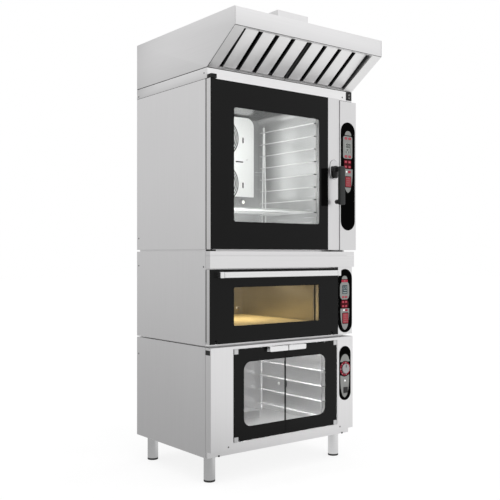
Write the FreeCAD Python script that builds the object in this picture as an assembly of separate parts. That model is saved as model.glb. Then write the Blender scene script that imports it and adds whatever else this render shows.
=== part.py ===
import FreeCAD, Part
import os, math
from FreeCAD import Vector as V, Matrix, Placement

os.makedirs("parts", exist_ok=True)

# ---------------------------------------------------------------------------
# Stacked bakery set: extraction hood, convection oven, deck oven and prover.
# Millimetres, +Z up, origin on the floor under the middle of the overall box.
# X runs across the front, -Y is the front, +Y the rear.
# ---------------------------------------------------------------------------

# overall box
W = 937.0            # overall width
D = 920.0            # overall depth, hood front to rear motor cover
H = 2324.0           # overall height, floor to top of the duct collar
XL, XR = -W / 2, W / 2
YF, YS = -D / 2, D / 2

# shared planes
SHEET = 2.0          # casing sheet
Y_BAND = -243.0      # front of the lower hood band
Y_SEAM = -230.5      # front edge of every side panel
Y_FRONT = -232.0     # front frames, and the rear edge of every front box
Y_BACK = 406.0       # rear panels
Y_FACE = -269.7      # front of the oven door
Y_DFACE = -269.4     # front of the deck oven
Y_PFACE = -274.9     # front of the prover
X_DECK = 444.2       # right side of the deck oven and prover bodies
X_VISOR = 459.9      # right end of the deck oven's top visor

# hood levels
Z_HTOP, Z_FASCIA, Z_SLANT, Z_BAND = 2168.0, 2085.0, 1937.0, 1884.0
# convection oven
Z_OTOP, Z_OBOT = 1882.5, 1094.0
# deck oven
Z_DTOP, Z_VISOR_T, Z_VISOR_B, Z_DDOOR_T, Z_DDOOR_B, Z_DBOT = 1085.0, 1065.3, 1004.8, 1000.0, 653.0, 644.0
# prover
Z_PTOP, Z_PFBOT, Z_PBOT = 638.0, 156.3, 125.0

# cavities: x0, x1, y0, y1, z0, z1
OC = (-406.0, 284.0, -230.5, 330.0, 1180.0, 1840.0)
DC = (-331.0, 205.0, -230.5, 380.0, 700.0, 935.0)
PC = (-334.0, 328.0, -230.0, 352.0, 180.0, 622.0)

# slanted filter bank: opening in the hood's slant, filters set in behind it
OPEN_X0, OPEN_X1 = -408.0, 404.0
SLAT_X0, SLAT_P, SLAT_W = -381.5, 98.2, 73.0
SLAT_X1 = 18.5
FILT_T = 24.0
FILT_S0, FILT_S1 = 17.0, 255.5
FILT_N0, FILT_N1 = 19.5, 6.0     # set-back at the top and at the bottom

# duct collar
CX0, CX1, CY0, CY1 = 42.0, 247.0, -141.0, 109.0

# convection fans
FAN_X, FAN_Z = -25.0, (1697.0, 1447.0)
FAN_R, RING_R = 98.0, 112.0
SHAFT_R = 7.0
FIT = 0.05           # radial running clearance

# racks
RAIL_PITCH, RAIL_Z0 = 66.4, 1290.0
RAILS = 8
RAIL_Y0, RAIL_Y1 = -197.0, 249.0
OX_R, OX_L = 236.0, -358.0
OU_R, OU_L = 243.0, -365.0
P_RAIL_Z = (216.0, 296.0, 376.0, 457.0)
PX_R, PX_L = 292.0, -298.0
PU_R, PU_L = 299.0, -305.0

# hinges
DOOR_PX, DOOR_PY = -452.0, -255.0
DECK_PY, DECK_PZ = -260.0, 661.0
PD_L, PD_R, PD_Y = -332.5, 324.0, -270.9

# legs
LEG_R = 27.5
LEGS = ((-413.0, -183.5), (388.0, -183.5), (-413.0, 337.0), (388.0, 337.0))


def box(x0, x1, y0, y1, z0, z1):
    return Part.makeBox(x1 - x0, y1 - y0, z1 - z0, V(x0, y0, z0))


def cyl(p, d, r, h):
    return Part.makeCylinder(r, h, V(*p), V(*d))


def tube(p, d, r, ri, h):
    return cyl(p, d, r, h).cut(cyl(p, d, ri, h))


def rod(a, b, r):
    a, b = V(*a), V(*b)
    return Part.makeCylinder(r, (b - a).Length, a, b - a)


def prism_yz(pts, x0, x1):
    w = Part.makePolygon([V(x0, y, z) for y, z in pts] + [V(x0, pts[0][0], pts[0][1])])
    return Part.Face(w).extrude(V(x1 - x0, 0, 0))


def stadium(x0, x1, z0, z1, y0, y1):
    """upright plate with full-round ends, in the XZ plane"""
    r = (x1 - x0) / 2
    cx = (x0 + x1) / 2
    a = V(x0, y0, z0 + r)
    b = V(x0, y0, z1 - r)
    c = V(x1, y0, z1 - r)
    d = V(x1, y0, z0 + r)
    w = Part.Wire([Part.LineSegment(a, b).toShape(),
                   Part.Arc(b, V(cx, y0, z1), c).toShape(),
                   Part.LineSegment(c, d).toShape(),
                   Part.Arc(d, V(cx, y0, z0), a).toShape()])
    return Part.Face(w).extrude(V(0, y1 - y0, 0))


def rrect_xz(x0, x1, z0, z1, r, y0, y1):
    p = box(x0, x1, y0, y1, z0, z1)
    es = [e for e in p.Edges if abs(e.Vertexes[0].Point.y - e.Vertexes[1].Point.y) > 1e-6]
    return p.makeFillet(r, es)


def round_all(s, r):
    return s.makeFillet(r, s.Edges)


def frame_strips(x0, x1, z0, z1, hx0, hx1, hz0, hz1, y0, y1):
    """four flat strips round a rectangular mouth"""
    return [box(x0, hx0, y0, y1, z0, z1), box(hx1, x1, y0, y1, z0, z1),
            box(hx0, hx1, y0, y1, z0, hz0), box(hx0, hx1, y0, y1, hz1, z1)]


def liner(c, t):
    """five welded walls round a cavity, open at the front"""
    x0, x1, y0, y1, z0, z1 = c
    return [box(x0 - t, x0, y0, y1, z0, z1), box(x1, x1 + t, y0, y1, z0, z1),
            box(x0 - t, x1 + t, y0, y1, z0 - t, z0), box(x0 - t, x1 + t, y0, y1, z1, z1 + t),
            box(x0 - t, x1 + t, y1, y1 + t, z0 - t, z1 + t)]


NODES = {}


def add(name, shapes):
    if not isinstance(shapes, (list, tuple)):
        shapes = [shapes]
    out = []
    for s in shapes:
        if s.ShapeType == "Compound":
            out += list(s.Solids)
        else:
            out.append(s)
    NODES[name] = out


# ---------------------------------------------------------------- slanted plane
_L = math.hypot(Y_BAND - YF, Z_FASCIA - Z_SLANT)
TY, TZ = (Y_BAND - YF) / _L, (Z_SLANT - Z_FASCIA) / _L     # down the slant
MY, MZ = -TZ, TY                                            # into the hood


def slant(x0, x1, s0, s1, n0, n1):
    """box on the slant: across, down the slant from the fascia, depth into the hood"""
    b = Part.makeBox(x1 - x0, s1 - s0, n1 - n0, V(x0, s0, n0))
    m = Matrix(1, 0, 0, 0, 0, TY, MY, YF, 0, TZ, MZ, Z_FASCIA, 0, 0, 0, 1)
    b.Placement = Placement(m)
    return b


# ---------------------------------------------------------------- extraction hood
side = [(YF, Z_HTOP), (YF, Z_FASCIA), (Y_BAND, Z_SLANT), (Y_BACK, Z_SLANT), (Y_BACK, Z_HTOP)]
hole = box(CX0, CX1, CY0, CY1, Z_HTOP - 4, Z_HTOP + 1)
xi0, xi1 = XL + SHEET, XR - SHEET
add("hood_shell", [
    prism_yz(side, XL, xi0), prism_yz(side, xi1, XR),
    box(xi0, xi1, YF, YF + SHEET, Z_FASCIA, Z_HTOP),
    box(xi0, CX0, YF + SHEET, Y_BACK, Z_HTOP - SHEET, Z_HTOP),
    box(CX1, xi1, YF + SHEET, Y_BACK, Z_HTOP - SHEET, Z_HTOP),
    box(CX0, CX1, YF + SHEET, CY0, Z_HTOP - SHEET, Z_HTOP),
    box(CX0, CX1, CY1, Y_BACK, Z_HTOP - SHEET, Z_HTOP),
    box(xi0, xi1, Y_BACK - SHEET, Y_BACK, Z_SLANT, Z_HTOP - SHEET),
    box(xi0, xi1, Y_BAND, Y_BACK - SHEET, Z_SLANT, Z_SLANT + SHEET)])

FX = (-404.5, 1.5, 3.5, 400.5)     # outer edges of the two filters
add("hood_filter_frame", [
    slant(xi0, OPEN_X0, 2.6, 261.0, 0, 1.5),
    slant(OPEN_X1, xi1, 2.6, 261.0, 0, 1.5),
    slant(OPEN_X0 - 1.5, OPEN_X0, 2.6, 256.4, 1.5, 34.0),
    slant(OPEN_X1, OPEN_X1 + 1.5, 2.6, 256.4, 1.5, 34.0),
    slant(OPEN_X0, OPEN_X1, 2.6, 5.2, 0, 1.5),
    slant(OPEN_X0, OPEN_X1, 2.6, 4.1, 1.5, 40.0),
    slant(OPEN_X0, OPEN_X1, 257.2, 261.0, 0, 1.5),
    slant(OPEN_X0, OPEN_X1, 257.2, 258.7, 1.5, 20.0),
    slant(OPEN_X0, OPEN_X1, 20.0, 34.0, 45.0, 46.5),
    slant(OPEN_X0, OPEN_X1, 222.0, 236.0, 33.5, 35.0)])


def tilted(x0, x1, s0, s1, n0, n1):
    """box in the filters' own plane, which leans back from the slant towards its top"""
    a = math.atan2(FILT_N0 - FILT_N1, FILT_S1 - FILT_S0)
    b = Part.makeBox(x1 - x0, s1 - s0, n1 - n0, V(x0, s0 - FILT_S1, n0))
    b.rotate(V(0, 0, 0), V(1, 0, 0), -math.degrees(a))
    b.translate(V(0, FILT_S1, FILT_N1))
    m = Matrix(1, 0, 0, 0, 0, TY, MY, YF, 0, TZ, MZ, Z_FASCIA, 0, 0, 0, 1)
    b.transformShape(m)
    return b


def baffle(x0, x1, first):
    """baffle filter: channel frame, four raised front slats, rear slats over the gaps"""
    s0, s1 = FILT_S0, FILT_S1
    slats = [(first + SLAT_P * k, first + SLAT_P * k + SLAT_W) for k in range(4)]
    b = tilted(x0, x1, s0, s1, 0.0, FILT_T).cut(tilted(x0 + 1.5, x1 - 1.5, s0 + 1.5, s1 - 1.5, -1.0, FILT_T - 1.5))
    b = b.fuse(tilted(x0 + 1.5, x1 - 1.5, s0 + 1.5, s0 + 7.0, 0.0, 1.2))
    for a, c in slats:
        b = b.fuse(tilted(a, c, s0 + 1.5, s1 - 1.5, 0.0, 1.2))
        b = b.fuse(tilted(a, a + 1.2, s0 + 1.5, s1 - 1.5, 1.2, 12.0)).fuse(tilted(c - 1.2, c, s0 + 1.5, s1 - 1.5, 1.2, 12.0))
    for a, c in slats:
        b = b.cut(tilted(a + 22.0, c - 22.0, s0 + 8.0, s1 - 8.0, FILT_T - 3.0, FILT_T + 1.0))
    return b.removeSplitter()


add("baffle_filter_left", baffle(FX[0], FX[1], SLAT_X0))
add("baffle_filter_right", baffle(FX[2], FX[3], SLAT_X1))

add("hood_base_band", [
    box(XL, xi0, Y_BAND, Y_BACK, Z_BAND, Z_SLANT - 0.5),
    box(xi1, XR, Y_BAND, Y_BACK, Z_BAND, Z_SLANT - 0.5),
    box(xi0, xi1, Y_BAND, Y_BAND + SHEET, Z_BAND, Z_SLANT - 0.5).cut(box(429.5, 462.0, Y_BAND - 1, Y_BAND + 3, 1893.0, 1931.0)),
    box(xi0, xi1, Y_BACK - SHEET, Y_BACK, Z_BAND, Z_SLANT - 0.5)])

wc = 1.5
add("exhaust_collar", [
    box(CX0, CX0 + wc, CY0, CY1, Z_HTOP, H), box(CX1 - wc, CX1, CY0, CY1, Z_HTOP, H),
    box(CX0 + wc, CX1 - wc, CY0, CY0 + wc, Z_HTOP, H), box(CX0 + wc, CX1 - wc, CY1 - wc, CY1, Z_HTOP, H),
    box(CX0 - 14, CX0, CY0 - 14, CY1 + 14, Z_HTOP, Z_HTOP + 1.5), box(CX1, CX1 + 14, CY0 - 14, CY1 + 14, Z_HTOP, Z_HTOP + 1.5),
    box(CX0, CX1, CY0 - 14, CY0, Z_HTOP, Z_HTOP + 1.5), box(CX0, CX1, CY1, CY1 + 14, Z_HTOP, Z_HTOP + 1.5)])

# extraction fan under the collar: motor on a hanger, axial wheel on its shaft
ex, ey = (CX0 + CX1) / 2, (CY0 + CY1) / 2
add("extraction_motor", [
    box(CX0 - 8, CX0 - 5, ey - 30, ey + 30, 2010.0, Z_HTOP - SHEET),
    box(CX1 + 5, CX1 + 8, ey - 30, ey + 30, 2010.0, Z_HTOP - SHEET),
    box(CX0 - 5, CX1 + 5, ey - 30, ey + 30, 2010.0, 2013.0),
    cyl((ex, ey, 2013.0), (0, 0, 1), 48.0, 78.0).fuse(cyl((ex, ey, 2091.0), (0, 0, 1), 16.0, 7.0)).cut(
        cyl((ex, ey, 2060.0), (0, 0, 1), 6.0 + FIT, 60.0))])
hub = cyl((ex, ey, 2104.0), (0, 0, 1), 30.0, 36.0).fuse(cyl((ex, ey, 2062.0), (0, 0, 1), 6.0, 44.0))
for k in range(6):
    bl = box(26, 90, -20, 20, -1.2, 1.2)
    bl.rotate(V(0, 0, 0), V(1, 0, 0), 34)
    bl.translate(V(0, 0, 2122.0))
    bl.rotate(V(0, 0, 0), V(0, 0, 1), 60 * k)
    bl.translate(V(ex, ey, 0))
    hub = hub.fuse(bl)
add("extraction_impeller", hub)

# rocker switch of the hood, on a horizontal pivot
rk = box(431.0, 460.5, -247.2, -236.0, 1894.9, 1929.1)
rk = rk.makeFillet(2.0, [e for e in rk.Edges if abs(e.Vertexes[0].Point.y + 247.2) < 1e-3 and abs(e.Vertexes[1].Point.y + 247.2) < 1e-3])
add("hood_rocker", rk)

# ---------------------------------------------------------------- convection oven
add("oven_casing", [
    box(XL, xi0, Y_SEAM, Y_BACK, Z_OBOT, Z_OTOP + 1), box(xi1, XR, Y_SEAM, Y_BACK, Z_OBOT, Z_OTOP + 1),
    box(xi0, xi1, Y_SEAM, Y_BACK - SHEET, Z_OTOP - 1, Z_OTOP + 1),
    box(xi0, xi1, Y_SEAM, Y_BACK - SHEET, Z_OBOT, Z_OBOT + SHEET),
    # plinth that carries the oven on the deck oven's roof
    box(XL + 12.0, X_DECK - 12.0, -222.0, -220.0, Z_DTOP, Z_OBOT), box(XL + 12.0, X_DECK - 12.0, 393.0, 395.0, Z_DTOP, Z_OBOT),
    box(XL + 12.0, XL + 14.0, -220.0, 393.0, Z_DTOP, Z_OBOT), box(X_DECK - 14.0, X_DECK - 12.0, -220.0, 393.0, Z_DTOP, Z_OBOT)]
    + frame_strips(xi0, xi1, Z_OBOT + SHEET, Z_OTOP - 1, OC[0], OC[1], OC[4], OC[5], Y_FRONT, Y_SEAM))

cav = liner(OC, SHEET)
for z in FAN_Z:
    cav[4] = cav[4].cut(cyl((FAN_X, OC[3] - 1, z), (0, 1, 0), 12.0, 5.0))
cav[4] = cav[4].cut(cyl((200.0, OC[3] - 1, 1800.0), (0, 1, 0), 19.7, 5.0))
add("oven_cavity", cav)

rear_holes = [cyl((FAN_X, Y_BACK - 4, z), (0, 1, 0), 62.0, 8.0) for z in FAN_Z]
orear = box(xi0, xi1, Y_BACK - SHEET, Y_BACK, Z_OBOT + SHEET, Z_OTOP - 1)
for h_ in rear_holes:
    orear = orear.cut(h_)
orear = orear.cut(cyl((200.0, Y_BACK - 4, 1800.0), (0, 1, 0), 19.7, 8.0))
orear = orear.cut(cyl((330.0, Y_BACK - 4, 1150.0), (0, 1, 0), 13.5, 8.0))
orear = orear.cut(cyl((390.0, Y_BACK - 4, 1150.0), (0, 1, 0), 12.7, 8.0))
cover = box(-120, 70, Y_BACK, 454.0, 1350.0, 1795.0)
cover = cover.makeFillet(8.0, [e for e in cover.Edges if not (abs(e.Vertexes[0].Point.y - Y_BACK) < 1e-6 and abs(e.Vertexes[-1].Point.y - Y_BACK) < 1e-6)])
cover = cover.cut(box(-118.5, 68.5, Y_BACK - 1, 452.5, 1351.5, 1793.5))
drear = box(xi0, X_DECK - SHEET, Y_BACK - SHEET, Y_BACK, Z_DBOT + SHEET, Z_DTOP - SHEET)
add("rear_panels", [orear, cover, drear])

add("insulation", [
    box(xi0 + 1, OC[0] - 3, Y_SEAM + 4, OC[3], OC[4], OC[5]),
    box(OC[1] + 3, 350.0, Y_SEAM + 4, OC[3], OC[4], OC[5]),
    box(OC[0] - 2, OC[1] + 2, Y_SEAM + 4, OC[3], OC[5] + 3, Z_OTOP - 2),
    box(OC[0] - 2, OC[1] + 2, Y_SEAM + 4, OC[3], OC[4] - 60, OC[4] - 3),
    box(DC[0] - 100, DC[0] - 3, Y_SEAM + 4, DC[3], DC[4], DC[5]),
    box(DC[1] + 3, DC[1] + 103, Y_SEAM + 4, DC[3], DC[4], DC[5]),
    box(DC[0] - 2, DC[1] + 2, Y_SEAM + 4, DC[3], DC[5] + 3, DC[5] + 83)])

def gasket(c, y0):
    x0, x1, z0, z1, w = c[0] - 12, c[1] + 12, c[4] - 12, c[5] + 12, 10.0
    return [box(x0, x0 + w, y0, Y_FRONT, z0, z1), box(x1 - w, x1, y0, Y_FRONT, z0, z1),
            box(x0 + w, x1 - w, y0, Y_FRONT, z0, z0 + w), box(x0 + w, x1 - w, y0, Y_FRONT, z1 - w, z1)]


add("door_gaskets", gasket(OC, -239.6) + gasket(DC, -239.3))

# rear baffle with two guarded fan intakes, on four stand-offs
bx0, bx1, bz0, bz1, by0, by1 = -238.0, 188.0, 1391.0, 1831.0, 250.0, 252.0
baf = box(bx0, bx1, by0, by1, bz0, bz1)
baf = baf.makeFillet(48.0, [e for e in baf.Edges if e.BoundBox.YLength > 1 and e.BoundBox.ZMin > bz1 - 1])
for z in FAN_Z:
    for ro, ri in ((92.0, 76.0), (70.0, 54.0), (48.0, 32.0)):
        ring = tube((FAN_X, by0 - 1, z), (0, 1, 0), ro, ri, 4.0)
        ring = ring.cut(box(FAN_X - 3, FAN_X + 3, by0 - 2, by1 + 2, z - 100, z + 100))
        ring = ring.cut(box(FAN_X - 100, FAN_X + 100, by0 - 2, by1 + 2, z - 3, z + 3))
        baf = baf.cut(ring)
    for sx in (112.0, -162.0):
        baf = baf.cut(box(sx - 3, sx + 3, by0 - 1, by1 + 1, z - 8, z + 24))
add("fan_baffle", [baf] + [cyl((x, by1, z), (0, 1, 0), 5.0, OC[3] - by1) for x in (bx0 + 26, bx1 - 26) for z in (bz0 + 22, bz1 - 26)])


def conv_fan(z):
    f = cyl((FAN_X, 312.0, z), (0, 1, 0), FAN_R, 2.0)
    f = f.fuse(tube((FAN_X, 264.0, z), (0, 1, 0), FAN_R, 70.0, 2.0))
    f = f.fuse(cyl((FAN_X, 296.0, z), (0, 1, 0), 17.0, 17.0))
    f = f.fuse(cyl((FAN_X, 290.0, z), (0, 1, 0), SHAFT_R, 84.0))
    for k in range(12):
        b = box(66.0, 96.0, 265.0, 313.0, -1.0, 1.0)
        b.rotate(V(81, 0, 0), V(0, 1, 0), 24)
        b.rotate(V(0, 0, 0), V(0, 1, 0), 30 * k)
        b.translate(V(FAN_X, 0, z))
        f = f.fuse(b)
    return f


add("fan_upper", conv_fan(FAN_Z[0]))
add("fan_lower", conv_fan(FAN_Z[1]))
mot = []
for z in FAN_Z:
    m = cyl((FAN_X, 352.0, z), (0, 1, 0), 22.0, 6.0).fuse(cyl((FAN_X, 357.0, z), (0, 1, 0), 58.0, 82.0))
    for k in range(24):
        g = box(56.0, 62.0, 362.0, 432.0, -2.0, 2.0)
        g.rotate(V(0, 0, 0), V(0, 1, 0), 15 * k)
        g.translate(V(FAN_X, 0, z))
        m = m.cut(g)
    mot.append(m.cut(cyl((FAN_X, 351.0, z), (0, 1, 0), SHAFT_R + FIT, 27.0)))
    for dx in (-40, 40):
        mot.append(cyl((FAN_X + dx, 332.0, z), (0, 1, 0), 4.0, 25.0))
add("fan_motors", mot)


def torus(c, R, r):
    return Part.makeTorus(R, r, V(*c), V(0, 1, 0))


heat = [torus((FAN_X, y, z), RING_R, 4.0) for z in FAN_Z for y in (282.0, 296.0)]
heat += [cyl((FAN_X + RING_R, y, z), (0, 1, 0), 3.2, OC[3] - y) for z in FAN_Z for y in (300.0,)]
heat += [rod((DC[0], y, 918.0), (DC[1], y, 918.0), 4.0) for y in (-140.0, -20.0, 100.0, 220.0, 330.0)]
heat += [rod((DC[0], y, 684.0), (DC[1], y, 684.0), 4.0) for y in (-140.0, -20.0, 100.0, 220.0, 330.0)]
add("heating_elements", heat)


def ladder(x, u, w, ys, z0, z1, levels, y0, y1, r=3.0, link=True):
    """welded wire side rack: uprights, one rail for each level, front hooks to the wall"""
    d = 1 if w > x else -1
    out = [rod((u, y, z0), (u, y, z1), 4.0) for y in ys]
    for z in levels:
        out.append(rod((x, y0, z), (x, y1, z), r))
        out.append(rod((x + d * r, y0 + r, z), (w, y0 + r, z), r))
    if link:
        out.append(rod((u, ys[-2] - 4.0, z1 + 4), (u, ys[-1] + 4.0, z1 + 4), 4.0))
        out.append(rod((u + d * 4.0, ys[-1], z1 + 4), (w, ys[-1], z1 + 4), 3.0))
    return out


olev = [RAIL_Z0 + RAIL_PITCH * i for i in range(RAILS)]
racks = ladder(OX_R, OU_R, OC[1], (209.0, 245.0), OC[4], 1790.0, olev, RAIL_Y0, RAIL_Y1)
racks += ladder(OX_L, OU_L, OC[0], (209.0, 245.0), OC[4], 1790.0, olev, RAIL_Y0, RAIL_Y1)
racks += ladder(PX_R, PU_R, PC[1], (-190.0, 320.0), PC[4], 600.0, P_RAIL_Z, -200.0, 330.0, link=False)
racks += ladder(PX_L, PU_L, PC[0], (-190.0, 320.0), PC[4], 600.0, P_RAIL_Z, -200.0, 330.0, link=False)
add("rack_supports", racks)

# wire shelf lying on the lowest pair of rails
zs = RAIL_Z0 + 3.0 + 3.0 + 0.1
sx0, sx1, sy0, sy1 = -357.0, 235.0, -192.0, 208.0
shelf = [rod((sx0, sy0, zs), (sx1, sy0, zs), 3.0), rod((sx0, sy1, zs), (sx1, sy1, zs), 3.0),
         rod((sx0, sy0, zs), (sx0, sy1, zs), 3.0), rod((sx1, sy0, zs), (sx1, sy1, zs), 3.0)]
sh = shelf[0]
for s in shelf[1:] + [Part.makeSphere(3.0, V(x, y, zs)) for x in (sx0, sx1) for y in (sy0, sy1)]:
    sh = sh.fuse(s)
for k in range(1, 20):
    x = sx0 + (sx1 - sx0) * k / 20.0
    sh = sh.fuse(rod((x, sy0, zs + 1.2), (x, sy1, zs + 1.2), 1.5))
sh = sh.fuse(rod((sx0, 8.0, zs - 1.0), (sx1, 8.0, zs - 1.0), 2.0))
add("wire_shelf", sh)


def lamp(x, y, z, r):
    s = cyl((x, y - 9.0, z), (0, 1, 0), r, 9.0)
    s = s.makeFillet(3.0, [e for e in s.Edges if abs(e.BoundBox.YMin - (y - 9.0)) < 1e-6 and abs(e.BoundBox.YMax - (y - 9.0)) < 1e-6])
    return s


add("cavity_lamps", [lamp(170.0, OC[3], 1368.0, 22.0), lamp(172.0, DC[3], 762.0, 16.0)])

# control column right of the door, folded box open at the rear
colx0, colx1 = 353.0, XR
KEY_O = (390.5, 429.5, 1427.0, 1479.0)
col = box(colx0, colx1, -274.0, Y_FRONT, 1093.5, 1875.0).cut(box(colx0 + 2, colx1 - 2, -272.0, -229.0, 1095.5, 1873.0))
col = col.cut(box(KEY_O[0] - 0.4, KEY_O[1] + 0.4, -275.0, -271.0, KEY_O[2] - 0.4, KEY_O[3] + 0.4))
add("control_column", col)

KEY_D = (374.5, 413.5, 709.0, 761.0)
ov1 = stadium(358.5, 460.1, 1197.0, 1766.0, -275.5, -274.0).cut(
    box(KEY_O[0] - 0.4, KEY_O[1] + 0.4, -276.0, -273.0, KEY_O[2] - 0.4, KEY_O[3] + 0.4))
ov2 = stadium(343.8, 443.6, 660.0, 994.0, Y_DFACE - 1.5, Y_DFACE).cut(
    box(KEY_D[0] - 0.4, KEY_D[1] + 0.4, Y_DFACE - 2, Y_DFACE + 1, KEY_D[2] - 0.4, KEY_D[3] + 0.4))
ov3 = stadium(346.0, 428.0, 305.5, 589.3, Y_PFACE - 1.5, Y_PFACE)
ov3 = ov3.cut(cyl((388.0, -280.0, 471.0), (0, 1, 0), 3.0 + FIT, 10.0))
ov3 = ov3.cut(box(373.4, 405.6, -280.0, -270.0, 341.5, 375.5))
add("control_overlays", [ov1, ov2, ov3])

add("displays", [rrect_xz(389.0, 428.0, 1600.0, 1658.0, 2.0, -276.3, -275.5),
                 rrect_xz(371.5, 408.5, 862.0, 909.0, 2.0, Y_DFACE - 2.3, Y_DFACE - 1.5)])


def key(k, y0, y1):
    s = rrect_xz(k[0], k[1], k[2], k[3], 5.0, y0, y1)
    return s.makeFillet(0.8, [e for e in s.Edges if abs(e.BoundBox.YMin - y0) < 1e-6 and abs(e.BoundBox.YMax - y0) < 1e-6])


add("oven_key", key(KEY_O, -277.6, -270.0))
add("deck_key", key(KEY_D, Y_DFACE - 3.6, Y_DFACE + 4.0))


def lens(x, y, z, r):
    s = cyl((x, y - 2.6, z), (0, 1, 0), r, 2.6)
    return s.makeFillet(1.4, [e for e in s.Edges if abs(e.BoundBox.YMin - (y - 2.6)) < 1e-6 and abs(e.BoundBox.YMax - (y - 2.6)) < 1e-6])


add("indicator_lenses", [lens(398.0, -275.5, 1505.5, 5.0), lens(383.0, Y_DFACE - 1.5, 778.0, 5.0), lens(385.0, Y_PFACE - 1.5, 408.0, 5.5)])

# ---------------------------------------------------------------- oven door
dx0, dx1, dz0, dz1 = XL, 351.5, Z_OBOT, Z_OTOP
GX1 = 271.3
WX0, WX1, WZ0, WZ1 = -338.0, 216.0, 1216.0, 1769.0
yb = -240.0
YG = Y_FACE + 6.0     # back of the outer glass
HX, HZ = 313.0, 1512.0
skin = yb - 2.0
stile = box(GX1 + 0.4, dx1, Y_FACE, YG, dz0, dz1)
side_l = box(dx0, dx0 + 1.5, Y_FACE, yb, dz0, dz1)
side_r = box(dx1 - 2, dx1, YG, yb, dz0, dz1)
fr = [stile, side_l, side_r,
      box(dx0 + 1.5, dx1 - 2, YG, yb, dz0, dz0 + 2), box(dx0 + 1.5, dx1 - 2, YG, yb, dz1 - 2, dz1),
      box(dx0 + 1.5, WX0 - 2, skin, yb, dz0 + 2, dz1 - 2), box(WX1 + 2, dx1 - 2, skin, yb, dz0 + 2, dz1 - 2),
      box(WX0 - 2, WX1 + 2, skin, yb, dz0 + 2, WZ0 - 2), box(WX0 - 2, WX1 + 2, skin, yb, WZ1 + 2, dz1 - 2),
      box(WX0 - 2, WX0, YG + 1, yb, WZ0 - 2, WZ1 + 2), box(WX1, WX1 + 2, YG + 1, yb, WZ0 - 2, WZ1 + 2),
      box(WX0, WX1, YG + 1, yb, WZ0 - 2, WZ0), box(WX0, WX1, YG + 1, yb, WZ1, WZ1 + 2),
      # corner bearing blocks for the two hinge pins, spindle housing for the handle
      box(dx0 + 1.5, dx0 + 30, YG, skin, dz0 + 2, dz0 + 16), box(dx0 + 1.5, dx0 + 30, YG, skin, dz1 - 16, dz1 - 2),
      box(HX - 18, HX + 18, YG, skin, HZ - 18, HZ + 18)]
bores = [cyl((DOOR_PX, DOOR_PY, dz0 - 1), (0, 0, 1), 5.0 + FIT, 14.0),
         cyl((DOOR_PX, DOOR_PY, dz1 - 13), (0, 0, 1), 5.0 + FIT, 14.0),
         cyl((HX, -280.0, HZ), (0, 1, 0), 6.0 + FIT, 60.0)]
out = []
for f in fr:
    for b in bores:
        if f.BoundBox.intersect(b.BoundBox) and f.common(b).Volume > 1e-6:
            f = f.cut(b)
    out.append(f)
fr = out
add("oven_door_frame", fr)
add("oven_door_glass", box(dx0 + 1.7, GX1, Y_FACE, -263.7, dz0 + 0.5, dz1 - 0.5))
add("oven_inner_glass", box(WX0 + 0.3, WX1 - 0.3, -247.0, -242.0, WZ0 + 0.3, WZ1 - 0.3))

ros = stadium(284.5, 341.5, 1462.0, 1562.0, Y_FACE - 4.0, Y_FACE)
ros = ros.makeFillet(2.5, [e for e in ros.Edges if abs(e.BoundBox.YMin - (Y_FACE - 4.0)) < 1e-6 and abs(e.BoundBox.YMax - (Y_FACE - 4.0)) < 1e-6])
ros = ros.cut(cyl((HX, -280.0, HZ), (0, 1, 0), 6.0 + FIT, 20.0))
add("handle_rosette", ros)

# lever handle: boss on the spindle, arm out to an upright grip, short return at its foot
grip = box(287.0, 325.0, -345.0, -323.0, 1325.0, 1523.0)
grip = grip.makeFillet(7.0, grip.Edges)
arm = box(295.0, 329.0, -323.0, -290.0, 1498.0, 1522.0)
arm = arm.makeFillet(7.0, [e for e in arm.Edges if abs(e.Vertexes[0].Point.y - e.Vertexes[1].Point.y) > 1])
stub = cyl((306.0, -323.0, 1342.0), (0, 1, 0), 10.0, 29.0)
stub = stub.makeFillet(4.0, [e for e in stub.Edges if abs(e.BoundBox.YMin + 294.0) < 1e-6 and abs(e.BoundBox.YMax + 294.0) < 1e-6])
boss = cyl((HX, -290.0, HZ), (0, 1, 0), 16.0, 16.0).fuse(cyl((HX, -275.0, HZ), (0, 1, 0), 6.0, 40.2))
hd = [grip, arm, stub, boss]
add("oven_door_handle", hd)
cam = cyl((HX, -239.0, HZ), (0, 1, 0), 14.0, 4.2).fuse(box(HX - 8, HX + 8, -239.0, -234.8, HZ, HZ + 38))
cam = cam.cut(cyl((HX, -245.0, HZ), (0, 1, 0), 6.0, 20.0))
add("latch_cam", cam)

# pivot brackets: top and bottom of the oven door, two low knuckles for the deck door
tb = box(-463.0, -432.0, -271.5, Y_BAND, Z_BAND + 0.6, 1904.0)
tb = tb.makeFillet(1.0, [e for e in tb.Edges if abs(e.Vertexes[0].Point.z - e.Vertexes[1].Point.z) > 1])
tb = tb.fuse(cyl((DOOR_PX, DOOR_PY, dz1 - 11.5), (0, 0, 1), 5.0, 16.0))
bb = box(XL + 0.2, -437.0, -271.5, Y_FRONT, 1085.6, 1092.4)
bb = bb.makeFillet(2.0, [e for e in bb.Edges if abs(e.Vertexes[0].Point.z - e.Vertexes[1].Point.z) > 1])
bb = bb.fuse(cyl((DOOR_PX, DOOR_PY, 1090.0), (0, 0, 1), 5.0, 15.5))
kn = []
KNX = (-435.0, 300.0)
for kx in KNX:
    k = box(kx - 5, kx + 5, DECK_PY, Y_FRONT, DECK_PZ - 7, DECK_PZ + 7)
    k = k.fuse(cyl((kx - 5, DECK_PY, DECK_PZ), (1, 0, 0), 7.0, 10.0))
    k = k.fuse(cyl((kx - 17, DECK_PY, DECK_PZ), (1, 0, 0), 3.0, 34.0))
    kn.append(k)
add("pivot_brackets", [tb, bb] + kn)

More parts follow.
